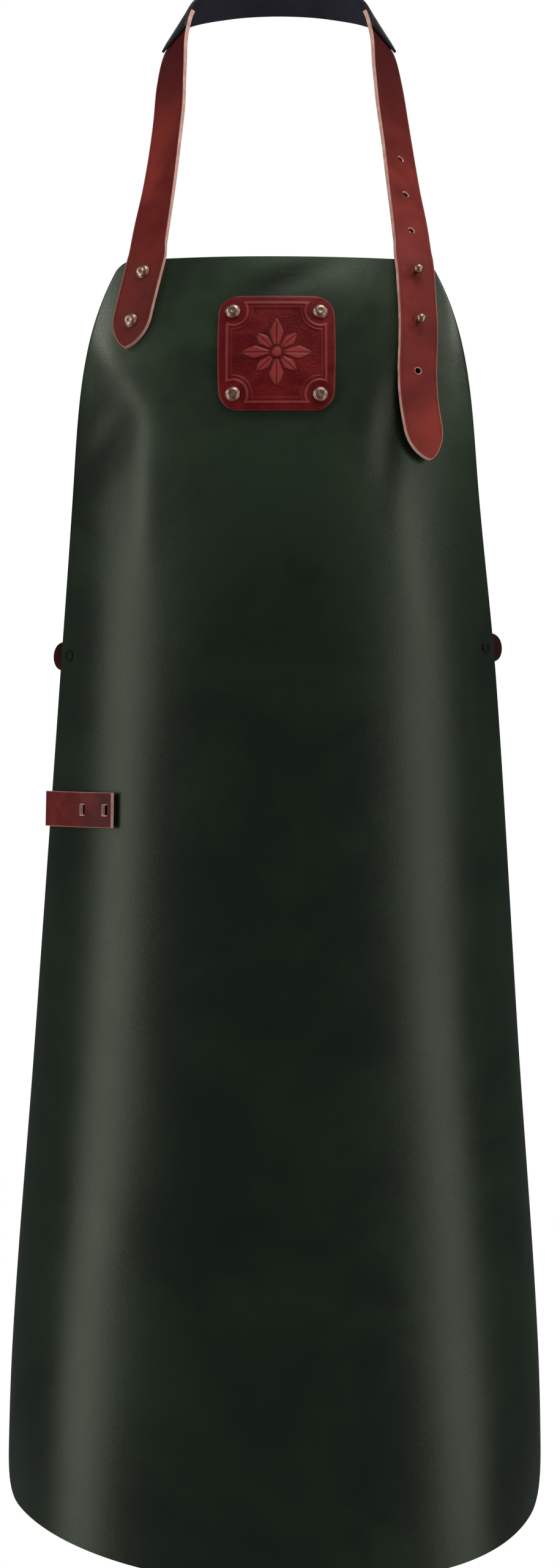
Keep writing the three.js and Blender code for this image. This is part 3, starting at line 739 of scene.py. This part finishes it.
def punch(seat):
    """A round punch through a strap that widens at the face, where the pale rim shows."""
    radius, deep, flare = HOLE_DIAMETER / 2, STRAP_THICKNESS, 0.6
    profile = [(0, -deep), (radius, -deep), (radius, deep - flare), (radius + flare, deep)]
    profile += [(radius + flare, 2 * deep), (0, 2 * deep)]
    tool = turned("punch", profile, seat["point"], seat["out"], 32)
    # Below the pale rim the wall is painted dark: painted shade inside the hole.
    dress(tool, "hole_wall", "red_cut_edge")
    for face in tool.data.polygons:
        height = (face.center / MM - seat["point"]).dot(seat["out"])
        face.material_index = int(height > deep - flare)
    return tool


def shank_profile(grip):
    """A rivet's flat back cap and its shank, up to where the head's own profile goes on."""
    back, tail, chamfer = -grip - TAIL_HEIGHT, TAIL_DIAMETER / 2, 0.2
    return [(0, back), (tail - chamfer, back), (tail, back + chamfer), (tail, -grip), (SHANK_DIAMETER / 2, -grip)]


def dome_profile(grip):
    """A rivet with a domed cap that has a thin rim and a slight dimple."""
    radius = RIVET_DIAMETER / 2
    profile = shank_profile(grip)
    profile += [(SHANK_DIAMETER / 2, 0), (radius - 0.1, 0), (radius, 0.12), (radius, 0.38), (radius - 0.15, 0.5)]
    steps = 12
    crown, foot = 1.9, 0.55
    for angle in quarter(steps) + [math.pi / 2]:
        out = crown + (radius - 0.35 - crown) * math.cos(angle)
        profile.append((out, foot + (RIVET_HEIGHT - foot) * math.sin(angle)))
    profile += [(1.3, RIVET_HEIGHT - 0.12), (0.65, RIVET_HEIGHT - 0.24), (0, RIVET_HEIGHT - 0.28)]
    return profile


def ball_profile(grip):
    """A stud with a ball on a narrow neck that goes through the strap's hole."""
    foot = -STRAP_THICKNESS - SEAT_GAP
    profile = shank_profile(grip) + [(SHANK_DIAMETER / 2, foot), (STUD_NECK / 2, foot)]
    start = math.asin(STUD_NECK / STUD_BALL)
    middle = STUD_NECK_LENGTH + STUD_BALL / 2 * math.cos(start)
    steps = 16
    for step in range(steps + 1):
        angle = mix(start, math.pi, step / steps)
        profile.append((STUD_BALL / 2 * math.sin(angle), middle - STUD_BALL / 2 * math.cos(angle)))
    profile[-1] = (0, profile[-1][1])
    return profile


def flat_profile(grip):
    """A rivet with a flat head that has a rounded rim."""
    head = FLAT_HEAD_DIAMETER / 2
    profile = shank_profile(grip)
    profile += [(SHANK_DIAMETER / 2, 0), (head, 0), (head, 0.5), (head - 0.35, 0.85), (head - 1.2, FLAT_HEAD_HEIGHT)]
    return profile + [(0, FLAT_HEAD_HEIGHT)]


def add_rivet(name, node, profile, point, out, metal="antique_copper"):
    rivet = turned(name, profile, point, out)
    dress(rivet, metal)
    stand_for(rivet, node)


# Materials

FINISHES = {}


def plug(tree, socket, value):
    """Joins a socket to another node's output, or sets it to a number or a colour."""
    if isinstance(value, bpy.types.NodeSocket):
        tree.links.new(value, socket)
    else:
        socket.default_value = (*value, 1.0) if isinstance(value, tuple) else value


def add_node(tree, kind, inputs=None, **settings):
    node = tree.nodes.new(kind)
    for key, value in settings.items():
        setattr(node, key, value)
    for key, value in (inputs or {}).items():
        plug(tree, node.inputs[key], value)
    return node


def calc(tree, operation, *values, clamp=False):
    return add_node(tree, "ShaderNodeMath", dict(enumerate(values)), operation=operation, use_clamp=clamp).outputs[0]


def times(tree, first, second, clamp=False):
    return calc(tree, "MULTIPLY", first, second, clamp=clamp)


def fused(tree, first, second, third):
    """The first value times the second, plus the third."""
    return calc(tree, "MULTIPLY_ADD", first, second, third)


def noise_node(tree, vector, scale, detail=2.0, roughness=0.5, distortion=0.0):
    inputs = {"Vector": vector, "Scale": scale, "Detail": detail, "Roughness": roughness, "Distortion": distortion}
    return add_node(tree, "ShaderNodeTexNoise", inputs).outputs["Fac"]


def ramp(tree, value, low, high, start=0.0, end=1.0):
    inputs = {"Value": value, "From Min": low, "From Max": high, "To Min": start, "To Max": end}
    return add_node(tree, "ShaderNodeMapRange", inputs, interpolation_type="SMOOTHSTEP").outputs["Result"]


def blend_colours(tree, share, first, second):
    # On this node the colours are inputs 6 and 7, and output 2.
    inputs = {0: share, 6: first, 7: second}
    return add_node(tree, "ShaderNodeMix", inputs, data_type="RGBA").outputs[2]


# The attribute's share: wear, and on the panel's folds painted light and shade.
def wear_and_painted_light_share(tree):
    return add_node(tree, "ShaderNodeAttribute", attribute_name="rubbed").outputs["Fac"]


def part_of(tree, vector, axis):
    return add_node(tree, "ShaderNodeSeparateXYZ", {"Vector": vector}).outputs[axis]


def group_with(name, inputs, outputs):
    """An empty node group that takes a vector and the named numbers, and gives numbers."""
    group = bpy.data.node_groups.new(name, "ShaderNodeTree")
    group.interface.new_socket(name="Vector", in_out="INPUT", socket_type="NodeSocketVector")
    for label, value in inputs.items():
        socket = group.interface.new_socket(name=label, in_out="INPUT", socket_type="NodeSocketFloat")
        socket.default_value = value
    for label in outputs:
        group.interface.new_socket(name=label, in_out="OUTPUT", socket_type="NodeSocketFloat")
    return group, group.nodes.new("NodeGroupInput").outputs, group.nodes.new("NodeGroupOutput").inputs


def use_group(tree, group, inputs):
    return add_node(tree, "ShaderNodeGroup", inputs, node_tree=group).outputs


def leather_grain_group():
    """The height of grain leather in metres: pores, pebbles and soft creases."""
    group, given, result = group_with("leather_grain", {"Pebble": 1.0, "Crease": 1.0}, ["Height"])
    place = given["Vector"]
    cell_inputs = {"Vector": place, "Scale": 900.0, "Randomness": 1.0}
    cells = add_node(group, "ShaderNodeTexVoronoi", cell_inputs, feature="DISTANCE_TO_EDGE")
    pebbles = ramp(group, cells.outputs["Distance"], 0.0, 0.35)
    fine = noise_node(group, place, 2600.0, 2.0)
    broad = noise_node(group, place, 38.0, 3.0, 0.55, 0.6)
    folds = noise_node(group, place, 9.0, 2.0, 0.5, 0.8)
    pebble_height = times(group, fused(group, fine, 0.35, pebbles), 0.00003)
    pebble_height = times(group, pebble_height, given["Pebble"])
    crease_height = fused(group, broad, 0.00045, times(group, folds, 0.0022))
    crease_height = times(group, crease_height, given["Crease"])
    plug(group, result["Height"], calc(group, "ADD", pebble_height, crease_height))
    return group


def leather_tone_group():
    """Cloudy tone of waxed leather: a share between its light and dark colours, and small scuffs."""
    group, given, result = group_with("leather_tone", {"Size": 12.0}, ["Cloud", "Scuff"])
    place, size = given["Vector"], given["Size"]
    clouds = noise_node(group, place, size, 4.0, 0.55, 0.7)
    small = noise_node(group, place, times(group, size, 5.0), 3.0, 0.6, 0.3)
    plug(group, result["Cloud"], ramp(group, fused(group, small, 0.25, clouds), 0.42, 0.82))
    specks = noise_node(group, place, 420.0, 3.0, 0.65)
    plug(group, result["Scuff"], ramp(group, specks, 0.6, 0.78))
    return group


def new_material(name):
    """A new finish's node tree, and the object's own place that its patterns lie in."""
    FINISHES[name] = material = bpy.data.materials.new(name)
    material.use_nodes = True
    tree = material.node_tree
    return tree, tree.nodes.new("ShaderNodeTexCoord").outputs["Object"]


def set_shader(tree, values, height=None):
    """Joins or sets the shader's sockets, and raises a height in metres as bump."""
    shader = tree.nodes["Principled BSDF"]
    for key, value in values.items():
        plug(tree, shader.inputs[key], value)
    if height is not None:
        bump = add_node(tree, "ShaderNodeBump", {"Height": height, "Distance": 1.0, "Strength": 1.0})
        plug(tree, shader.inputs["Normal"], bump.outputs["Normal"])


def panel_leather(grain, tone):
    """Waxed dark green leather of cloudy tone, painted paler up the bib as painted light from above, and painted paler
    and darker on its folds as their painted light and shade.
    """
    tree, place = new_material("green_leather")
    grains = use_group(tree, grain, {"Vector": place, "Pebble": 0.8, "Crease": 0.16})
    tones = use_group(tree, tone, {"Vector": place, "Size": 9.0})
    # Painted light from above: up the bib, by height, the colour is blended cloudily towards the pale green.
    painted_top_light = ramp(tree, part_of(tree, place, "Z"), -0.5, -0.22)
    pale = (0.036, 0.056, 0.032)
    base = blend_colours(tree, tones["Cloud"], (0.0102, 0.0162, 0.0108), (0.0142, 0.024, 0.0142))
    lit = times(tree, fused(tree, tones["Cloud"], 0.6, 0.15), painted_top_light)
    base = blend_colours(tree, lit, base, pale)
    base = blend_colours(tree, times(tree, tones["Scuff"], 0.12), base, pale)
    # Painted light and shade of the folds: above zero the leather is painted paler, below zero painted darker.
    fold_light_and_shade = wear_and_painted_light_share(tree)
    paler = times(tree, fold_light_and_shade, fused(tree, tones["Cloud"], 0.4, 0.55), clamp=True)
    base = blend_colours(tree, paler, base, (0.078, 0.094, 0.066))
    darker = times(tree, fold_light_and_shade, -1.0, clamp=True)
    values = {
        "Base Color": blend_colours(tree, darker, base, (0.005, 0.008, 0.005)),
        "Roughness": fused(tree, tones["Cloud"], 0.05, 0.27),
        "Specular IOR Level": 0.3,
        "Specular Tint": (0.9, 1.0, 0.78),
    }
    set_shader(tree, values, grains["Height"])


def smooth_leather(
    name, grain, tone, dark, light, rough=0.48, specular=0.15, cloud=16.0, groove=None, rubbed=None, foot=None
):
    """Waxed leather of the straps and the patch.

    groove is a creased line beside each edge: its inset and the strap's half width. A strap with one is darker near
    the band, and below the height foot in metres. The paler marks' colour is that of the straps' scuffed edges, and of
    the patch's rim and raised lines, whose paleness on the ridges is painted highlight as well as wear.
    """
    tree, place = new_material(name)
    grains = use_group(tree, grain, {"Vector": place, "Pebble": 0.7, "Crease": 0.12})
    tones = use_group(tree, tone, {"Vector": place, "Size": cloud})
    base = blend_colours(tree, tones["Cloud"], dark, light)
    base = blend_colours(tree, times(tree, tones["Scuff"], 0.15), base, light)
    height = grains["Height"]
    if groove:
        inset, half = groove
        across = part_of(tree, add_node(tree, "ShaderNodeUVMap", uv_map="flat").outputs["UV"], "X")
        away = calc(tree, "ABSOLUTE", calc(tree, "SUBTRACT", calc(tree, "ABSOLUTE", across), (half - inset) * MM))
        line = ramp(tree, away, 0.0, 0.0006, 1.0, 0.0)
        height = fused(tree, line, -0.00018, height)
        base = blend_colours(tree, times(tree, line, 0.4), base, dark)
        level = part_of(tree, place, "Z")
        wine = blend_colours(tree, 0.55, dark, (0.02, 0.001, 0.001))
        # Darker towards the band by height, and on a strap given a foot, darker below it too.
        base = blend_colours(tree, ramp(tree, level, -0.16, -0.03), base, wine)
        if foot:
            base = blend_colours(tree, ramp(tree, level, foot - 0.05, foot + 0.05, 0.45, 0.0), base, wine)
    if rubbed:
        # Blends towards the paler colour: on the straps their scuffed edges, on the patch also a painted highlight on
        # its ridges.
        wear_and_painted_highlight = ramp(tree, wear_and_painted_light_share(tree), 0.25, 1.0)
        wear_and_painted_highlight = times(tree, wear_and_painted_highlight, fused(tree, tones["Cloud"], 0.3, 0.6))
        base = blend_colours(tree, wear_and_painted_highlight, base, rubbed)
    values = {
        "Base Color": base,
        "Roughness": fused(tree, tones["Cloud"], 0.08, rough),
        "Specular IOR Level": specular,
    }
    set_shader(tree, values, height)


def raw_edge(name, dark, light):
    """A cut edge: layered fibre, paler than the face."""
    tree, place = new_material(name)
    fibre = noise_node(tree, place, 1500.0, 3.0, 0.7)
    streak = noise_node(tree, place, 160.0, 2.0)
    share = fused(tree, streak, 0.5, times(tree, fibre, 0.5))
    base = blend_colours(tree, ramp(tree, share, 0.3, 0.7), dark, light)
    set_shader(tree, {"Base Color": base, "Roughness": 0.72}, times(tree, fibre, 0.00012))


def suede(name, dark, light):
    """The flesh side: short matted nap."""
    tree, place = new_material(name)
    nap = noise_node(tree, place, 1100.0, 4.0, 0.75, 0.6)
    drift = noise_node(tree, place, 26.0, 3.0, 0.6)
    share = ramp(tree, fused(tree, drift, 0.6, times(tree, nap, 0.4)), 0.35, 0.7)
    base = blend_colours(tree, share, dark, light)
    values = {"Base Color": base, "Roughness": 0.92, "Sheen Weight": 0.25, "Sheen Roughness": 0.5}
    set_shader(tree, values, times(tree, nap, 0.0003))


def aged_metal(name, dark, light, rough):
    """Plated metal with a dark patina and fine scratches."""
    tree, place = new_material(name)
    patina = noise_node(tree, place, 380.0, 3.0, 0.5, 0.3)
    scratch = noise_node(tree, place, 3500.0, 2.0)
    share = ramp(tree, patina, 0.35, 0.72, 0.35, 0.75)
    base = blend_colours(tree, share, light, dark)
    values = {"Base Color": base, "Metallic": 1.0, "Roughness": fused(tree, share, 0.25, rough)}
    set_shader(tree, values, times(tree, scratch, 0.00002))


def plain_floor():
    tree, place = new_material("pale_floor")
    base = blend_colours(tree, noise_node(tree, place, 2.0, 2.0), (0.8, 0.8, 0.79), (0.83, 0.83, 0.82))
    set_shader(tree, {"Base Color": base, "Roughness": 0.7})


def make_materials():
    groups = (leather_grain_group(), leather_tone_group())
    panel_leather(*groups)
    for name, (dark, light, look) in SMOOTH_LEATHERS.items():
        smooth_leather(name, *groups, dark, light, **look)
    for maker, finishes in ((raw_edge, CUT_EDGES), (suede, FLESH_SIDES), (aged_metal, METALS)):
        for name, values in finishes.items():
            maker(name, *values)
    plain_floor()


# Tooling on the patch


def tooling(x, y):
    """Height of the patch's tooled design in millimetres.

    A double frame with hollow corners goes round the rivets, and a rosette of eight leaves lies on a stippled ground.
    """

    def ridge(distance, half, high):
        return high * math.exp(-((distance / half) ** 2))

    seat = PATCH_RIVET_SPACING / 2
    inside = max(abs(x) - 33, abs(y) - 35, 10 - math.hypot(abs(x) - seat, abs(y) - seat))
    height = ridge(inside, 0.8, 0.5) + ridge(inside + 2.8, 0.5, 0.3)
    radius, eighth = math.hypot(x, y), math.atan2(y, x) * 4 / math.pi
    nearest = math.floor(eighth + 0.5)
    foot, long_leaf, short_leaf = 4.6, 25, 20
    reach = long_leaf if nearest % 2 == 0 else short_leaf
    side = abs(eighth - nearest) * math.pi / 4 * radius
    share = (radius - foot) / (reach - foot)
    leaf = -1
    if 0 <= share <= 1:
        half_leaf = min(5.4 * math.sin(math.pi * share**0.75) * reach / long_leaf, 0.34 * radius)
        leaf = half_leaf - side
        height += ridge(leaf, 0.5, -0.3)
        if leaf > 0:
            height += 0.5 * min(leaf / 1.5, 1) ** 0.7 - ridge(side, 0.5, 0.35)
    height += 0.6 * max(0, 1 - (radius / 3.5) ** 4)
    if inside < -3.6 and leaf < -0.5 and radius > 4.2:
        height += 0.26 * noise.noise(Vector((x * 1.1, y * 1.1, 3.1))) - 0.16
    return height


# The pieces


def panel_rows():
    """The panel's rows: each one's drop, and how far a rounded corner draws its sides in."""
    rows = corner_rows(BIB_CORNER, PANEL_CORNER_ROWS)
    for step in range(PANEL_ROWS + 1):
        rows.append((mix(BIB_CORNER, PANEL_LENGTH - HEM_CORNER, step / PANEL_ROWS), 0.0))
    return rows + [(PANEL_LENGTH - up, inset) for up, inset in corner_rows(HEM_CORNER, PANEL_CORNER_ROWS)][::-1]


def make_panel():
    def place(row, column):
        drop, inset = row
        girth = half_girth(drop)
        shoulder = BIB_SHOULDER * max(0, 1 - drop / BIB_SHOULDER_LENGTH) ** 3
        side = 1 - (inset + shoulder) / girth
        share = (2 * column - 1) * side
        curve = HEM_CURVE_LEFT if share < 0 else HEM_CURVE_RIGHT
        raised = drop - HEM_RISE * abs(share) ** curve * (drop / PANEL_LENGTH) ** 4
        return panel_seat(share * half_girth(raised), raised)

    def flat(row, column):
        return ((column - 0.5) * 2 * half_girth(row[0]), row[0])

    # The folds' painted light (above zero) and painted shade (below zero), which the leather reads as an attribute.
    def wear_and_painted_light_at(row, column):
        return folds_at("tone", *flat(row, column))

    piece = shaped_grid("panel", panel_rows(), PANEL_COLUMNS, place, flat, wear_and_painted_light_at)
    thicken(piece, PANEL_THICKNESS)
    green = ["green_leather", "green_cut_edge", "green_flesh_side"]
    complete(piece, green, "apron_panel", 0.6, 2)


def make_neck():
    neck = neck_track()
    track = neck["track"]
    band_from, band_to = neck["band_from"], neck["band_to"]
    size = (STRAP_WIDTH, STRAP_THICKNESS)
    tip = round_end(TIP_LENGTH, TIP_FULLNESS)
    cut_sides = ["red_cut_edge", "red_flesh_side"]
    fixed = strip("fixed_strap", track, 0, band_from + BAND_OVERLAP, *size, start_shape=tip)
    complete(fixed, ["fixed_red_leather", *cut_sides], "fixed_neck_strap", 0.55)

    adjuster = strip("adjuster_strap", track, band_to - BAND_OVERLAP, track.length, *size, end_shape=tip)
    first_stud = neck["adjuster_edge"] + FIRST_STUD_DROP
    holes = range(-HOLES_ABOVE_STUDS, STUD_COUNT + HOLES_BELOW_STUDS)
    seats = [track.at(first_stud + hole * HOLE_PITCH) for hole in holes]
    tools = [punch(seat) for seat in seats]
    complete(adjuster, ["red_leather", *cut_sides], "adjustable_neck_strap", tools=tools)

    lift = STRAP_THICKNESS + LINING_GAP
    band = strip("nape_band", track, band_from, band_to, BAND_WIDTH, BAND_THICKNESS, lift=lift)
    black = ["black_face_leather", "black_cut_edge", "black_leather"]
    complete(band, black, "neck_band")

    grip = SEAT_GAP + STRAP_THICKNESS + SEAT_GAP + PANEL_THICKNESS + LINING_GAP
    for index in range(2):
        seat = track.at(neck["fixed_edge"] - FIXED_RIVET_DROP - index * FIXED_RIVET_PITCH)
        point = seat["point"] + seat["out"] * (STRAP_THICKNESS + SEAT_GAP * 0.2)
        name, node = f"strap_rivet_cap_{index + 1}", f"strap_rivet_{index + 1}"
        add_rivet(name, node, dome_profile(grip), point, seat["out"])
    for index, seat in enumerate(seats[HOLES_ABOVE_STUDS : HOLES_ABOVE_STUDS + STUD_COUNT]):
        point = seat["point"] + seat["out"] * STRAP_THICKNESS
        name, node = f"stud_{index + 1}", f"adjuster_stud_{index + 1}"
        add_rivet(name, node, ball_profile(grip - SEAT_GAP), point, seat["out"])


def patch_fall(length):
    """How far a length down the patch goes down the leaning panel."""
    slope = 3 * BIB_SETBACK / LEAN_LENGTH * max(0, 1 - PATCH_DROP / LEAN_LENGTH) ** 2
    return length * math.cos(math.atan(slope))


def make_patch():
    half = PATCH_HEIGHT / 2
    low = PATCH_CORNER - half
    corner = [(half - down, inset) for down, inset in corner_rows(PATCH_CORNER, PATCH_CORNER_ROWS)]
    rows = corner + [(mix(-low, low, step / PATCH_ROWS), 0.0) for step in range(PATCH_ROWS + 1)]
    rows += [(-up, inset) for up, inset in corner][::-1]

    def side_at(row):
        up, inset = row
        return PATCH_WIDTH / 2 + PATCH_BULGE * (1 - (up / half) ** 2) - inset

    def flat(row, column):
        return ((2 * column - 1) * side_at(row), row[0])

    def to_edge(row, across):
        return min(side_at(row) - abs(across), half - abs(row[0]))

    def place(row, column):
        across, up = flat(row, column)
        rolled = 0.5 * max(0, 1 - to_edge(row, across) / 1.8) ** 2
        height = SEAT_GAP + PATCH_THICKNESS - 0.3 + tooling(across, up) - rolled
        return panel_seat(PATCH_SHIFT + across, PATCH_DROP - patch_fall(up), height)

    # Paler on the rim and on the tooling's raised lines: wear, and on the ridges painted highlight as well.
    def wear_and_painted_light_at(row, column):
        across, up = flat(row, column)
        edge = max(0, 1 - to_edge(row, across) / 1.1)
        return min(1, max(0, tooling(across, up) / 0.5, edge))

    patch = shaped_grid("tooled_patch", rows, PATCH_COLUMNS, place, flat, wear_and_painted_light_at)
    thicken(patch, PATCH_THICKNESS - 0.6)
    finish = ["patch_leather", "patch_cut_edge", "red_flesh_side"]
    complete(patch, finish, "badge_patch", edge=0)
    grip = SEAT_GAP + PATCH_THICKNESS + SEAT_GAP + PANEL_THICKNESS + LINING_GAP
    across, down = PATCH_RIVET_SPACING / 2, patch_fall(PATCH_RIVET_SPACING) / 2
    corners = [(side * across, up * down) for up in (-1, 1) for side in (-1, 1)]
    for index, (side, fall) in enumerate(corners):
        point, out = panel_seat(PATCH_SHIFT + side, PATCH_DROP + fall, SEAT_GAP + PATCH_THICKNESS)
        name, node = f"patch_rivet_cap_{index + 1}", f"patch_rivet_{index + 1}"
        add_rivet(name, node, dome_profile(grip), point, out)


def make_loop():
    """The strap round the panel's edge: its front leaf, the turn about the edge, and its back leaf."""
    edge = half_girth(LOOP_DROP)
    standoff = LEAF_SECTIONS[-1]["lift"] * LOOP_STANDOFF

    def loop_seat(arc, lift=0.0):
        drop = LOOP_DROP + math.tan(math.radians(LOOP_TILT)) * (arc + edge - LOOP_FRONT / 2)
        return panel_seat(arc, drop, lift)

    stations = []
    for row in LEAF_SECTIONS:
        stations.append(loop_seat(-edge + LOOP_FRONT * (1 - row["along"]), SEAT_GAP + row["lift"] * LOOP_STANDOFF))
    rim, rim_out = loop_seat(-edge, -PANEL_THICKNESS / 2)
    beyond = (loop_seat(-edge - 1)[0] - loop_seat(-edge)[0]).normalized()
    rim_lift = PANEL_THICKNESS / 2 + SEAT_GAP + standoff
    for step in range(3):
        angle = (step + 1) / 4 * math.pi
        out = rim_out * math.cos(angle) + beyond * math.sin(angle)
        stations.append((rim + out * rim_lift, out))
    for step in range(5):
        point, out = loop_seat(-edge + LOOP_BACK * step / 4, -PANEL_THICKNESS / 2 - rim_lift)
        stations.append((point, -out))
    track = Track(stations)
    loop = strip("loop", track, 0, track.length, LOOP_WIDTH, LOOP_THICKNESS, step=STRIP_ROW / 2)
    tools = [slot_punch(track.at(SLOT_INSET + index * SLOT_PITCH)) for index in range(2)]
    finish = ["loop_leather", "red_cut_edge", "red_flesh_side"]
    complete(loop, finish, "towel_loop", 0.45, tools=tools)
    point, out = loop_seat(-edge + LOOP_RIVET_INSET, SEAT_GAP)
    grip = SEAT_GAP + PANEL_THICKNESS + SEAT_GAP + standoff + LOOP_THICKNESS + LINING_GAP
    add_rivet("loop_rivet_cap", "loop_rivet", flat_profile(grip), point, out)


def clasp_level():
    return -NAPE_TO_BIB - (LEFT_TAB_DROP + RIGHT_TAB_DROP) / 2


def make_waist(name, side, drop):
    """One side's tab behind the panel's edge, the waist strap from it to the clasp, and their rivet."""
    edge = half_girth(drop)

    def stations(start, end, depth):
        steps = math.ceil((end - start) / 9)
        return [panel_seat(side * mix(start, end, step / steps), drop, -depth) for step in range(steps + 1)]

    # The tab's leather and the cut edges of tab and waist strap are painted near-black: painted shade.
    cut_sides = ["dark_cut_edge", "red_flesh_side"]
    track = Track(stations(edge - TAB_HOLD, edge + TAB_OVERHANG, TAB_DEPTH))
    tip = round_end(TAB_OVERHANG, 0.5)
    tab = strip(f"{name}_waist_tab", track, 0, track.length, TAB_WIDTH, TAB_THICKNESS, end_shape=tip)
    complete(tab, ["dark_red_leather", *cut_sides], f"{name}_tab")

    run = stations(edge - WAIST_HOLD, edge - WAIST_LEAVE, WAIST_SEAT_DEPTH)
    for row in WAIST_SECTIONS:
        height = mix(-NAPE_TO_BIB - drop, clasp_level(), row["back"])
        point = Vector((side * row["side"] * WAIST_HALF_WIDTH, -NAPE_TO_FRONT + row["back"] * WAIST_DEPTH, height))
        run.append((point, facing(side, row["turn"], 0)))
    run.append((Vector((side * CLASP_MARGIN, -NAPE_TO_FRONT + WAIST_DEPTH, clasp_level())), facing(side, 180, 0)))
    track = Track(run)
    belt = strip(f"{name}_belt", track, 0, track.length, WAIST_WIDTH, WAIST_THICKNESS)
    complete(belt, ["red_leather", *cut_sides], f"{name}_waist_strap")

    point, out = panel_seat(side * (edge - TAB_RIVET_INSET), drop, SEAT_GAP * 0.3)
    profile = flat_profile(SEAT_GAP + WAIST_SEAT_DEPTH + LINING_GAP)
    add_rivet(f"{name}_tab_rivet_cap", f"{name}_tab_rivet", profile, point, out, "blackened_steel")


def make_clasp():
    """The plain plate that joins the waist straps, with a pressed border and two flat pegs."""
    bm = block((CLASP_LENGTH, CLASP_THICKNESS, CLASP_HEIGHT), 1, CLASP_CORNER, 8)
    bm.faces.ensure_lookup_table()
    back = [face for face in bm.faces if face.normal.y > 0.9]
    bmesh.ops.inset_region(bm, faces=back, thickness=2.2 * MM)
    bmesh.ops.inset_region(bm, faces=back, thickness=0.7 * MM, depth=-0.5 * MM)
    seat_y = -NAPE_TO_FRONT + WAIST_DEPTH
    plate_y = seat_y + WAIST_THICKNESS + SEAT_GAP + CLASP_THICKNESS / 2
    bmesh.ops.translate(bm, vec=Vector((0, plate_y, clasp_level())) * MM, verts=bm.verts)
    turn = Matrix.Rotation(math.pi / 2, 4, "X")
    # Each peg's disc under the strap, and its shank through the strap into the plate
    pegs = (
        (FLAT_HEAD_DIAMETER / 2, -SEAT_GAP - FLAT_HEAD_HEIGHT, -SEAT_GAP),
        (SHANK_DIAMETER / 2, -SEAT_GAP, 3.6),
    )
    for side in (-1, 1):
        for radius, start, end in pegs:
            disc = bmesh.ops.create_cone(
                bm, cap_ends=True, segments=32, radius1=radius * MM, radius2=radius * MM, depth=(end - start) * MM
            )
            spot = Vector((side * CLASP_PEG_SPREAD, seat_y + (start + end) / 2, clasp_level()))
            set_down(bm, disc["verts"], spot, turn)
    complete(as_object("clasp_plate", bm), ["antique_brass"], "waist_clasp", 0.3, 2)


# Stage


def area_light(name, place, target, width, height, power, lean=0.0):
    """A soft box aimed at a target, leant about its own line of sight."""
    data = bpy.data.lights.new(name, "AREA")
    data.shape = "RECTANGLE"
    data.size = width
    data.size_y = height
    data.energy = power
    lamp = bpy.data.objects.new(name, data)
    lamp.location = place
    lamp.rotation_mode = "QUATERNION"
    aim = (Vector(target) - Vector(place)).to_track_quat("-Z", "Y")
    lamp.rotation_quaternion = aim @ Quaternion((0, 0, 1), math.radians(lean))
    return link(lamp)


def make_floor():
    bm = bmesh.new()
    bmesh.ops.create_grid(bm, x_segments=8, y_segments=8, size=1.0)
    bmesh.ops.scale(bm, vec=(1.3, 0.85, 1), verts=bm.verts)
    bmesh.ops.translate(bm, vec=(0, 0.05, FLOOR_LEVEL), verts=bm.verts)
    floor = as_object("floor", bm)
    dress(floor, "pale_floor")


def make_world():
    """A white backdrop that lights the apron only faintly."""
    world = bpy.data.worlds.new("studio")
    bpy.context.scene.world = world
    world.use_nodes = True
    tree = world.node_tree
    shown = tree.nodes["Background"]
    plug(tree, shown.inputs["Color"], (1, 1, 1))
    plug(tree, shown.inputs["Strength"], 1.0)
    dim = add_node(tree, "ShaderNodeBackground", {"Color": (1, 1, 1), "Strength": WORLD_GLOW})
    seen = tree.nodes.new("ShaderNodeLightPath").outputs["Is Camera Ray"]
    choice = add_node(tree, "ShaderNodeMixShader", {0: seen, 1: dim.outputs[0], 2: shown.outputs[0]})
    plug(tree, tree.nodes["World Output"].inputs["Surface"], choice.outputs[0])


def make_lights():
    for name, side, turn, level, wide, tall, power, lean in SIDE_LIGHTS:
        turn = math.radians(turn)
        place = (side * SIDE_LIGHT_REACH * math.sin(turn), -0.25 - SIDE_LIGHT_REACH * math.cos(turn), level)
        area_light(name, place, (0, -0.25, min(level, -0.27)), wide, tall, power, lean=lean * side)
    area_light("top_box", (0.6, -0.75, 2.2), (0, -0.22, -0.3), 1.7, 1.0, 37)
    back_box = area_light("back_box", (0, 2.2, 0.3), (0, -0.2, -0.5), 1.2, 2.4, 34)
    back_box.visible_camera = False


def make_camera():
    data = bpy.data.cameras.new("camera")
    data.sensor_width = SENSOR_WIDTH
    data.lens = CAMERA_LENS
    camera = link(bpy.data.objects.new("camera", data))
    camera.location = (0, -CAMERA_DISTANCE - NAPE_TO_FRONT * MM, CAMERA_LEVEL)
    camera.rotation_euler = (math.pi / 2, 0, 0)
    bpy.context.scene.camera = camera


def main():
    bpy.context.scene.view_settings.view_transform = "Standard"
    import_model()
    make_materials()
    make_panel()
    make_neck()
    make_patch()
    make_loop()
    make_waist("left", -1, LEFT_TAB_DROP)
    make_waist("right", 1, RIGHT_TAB_DROP)
    make_clasp()
    make_floor()
    make_world()
    make_lights()
    make_camera()
    bpy.context.view_layer.update()


main()
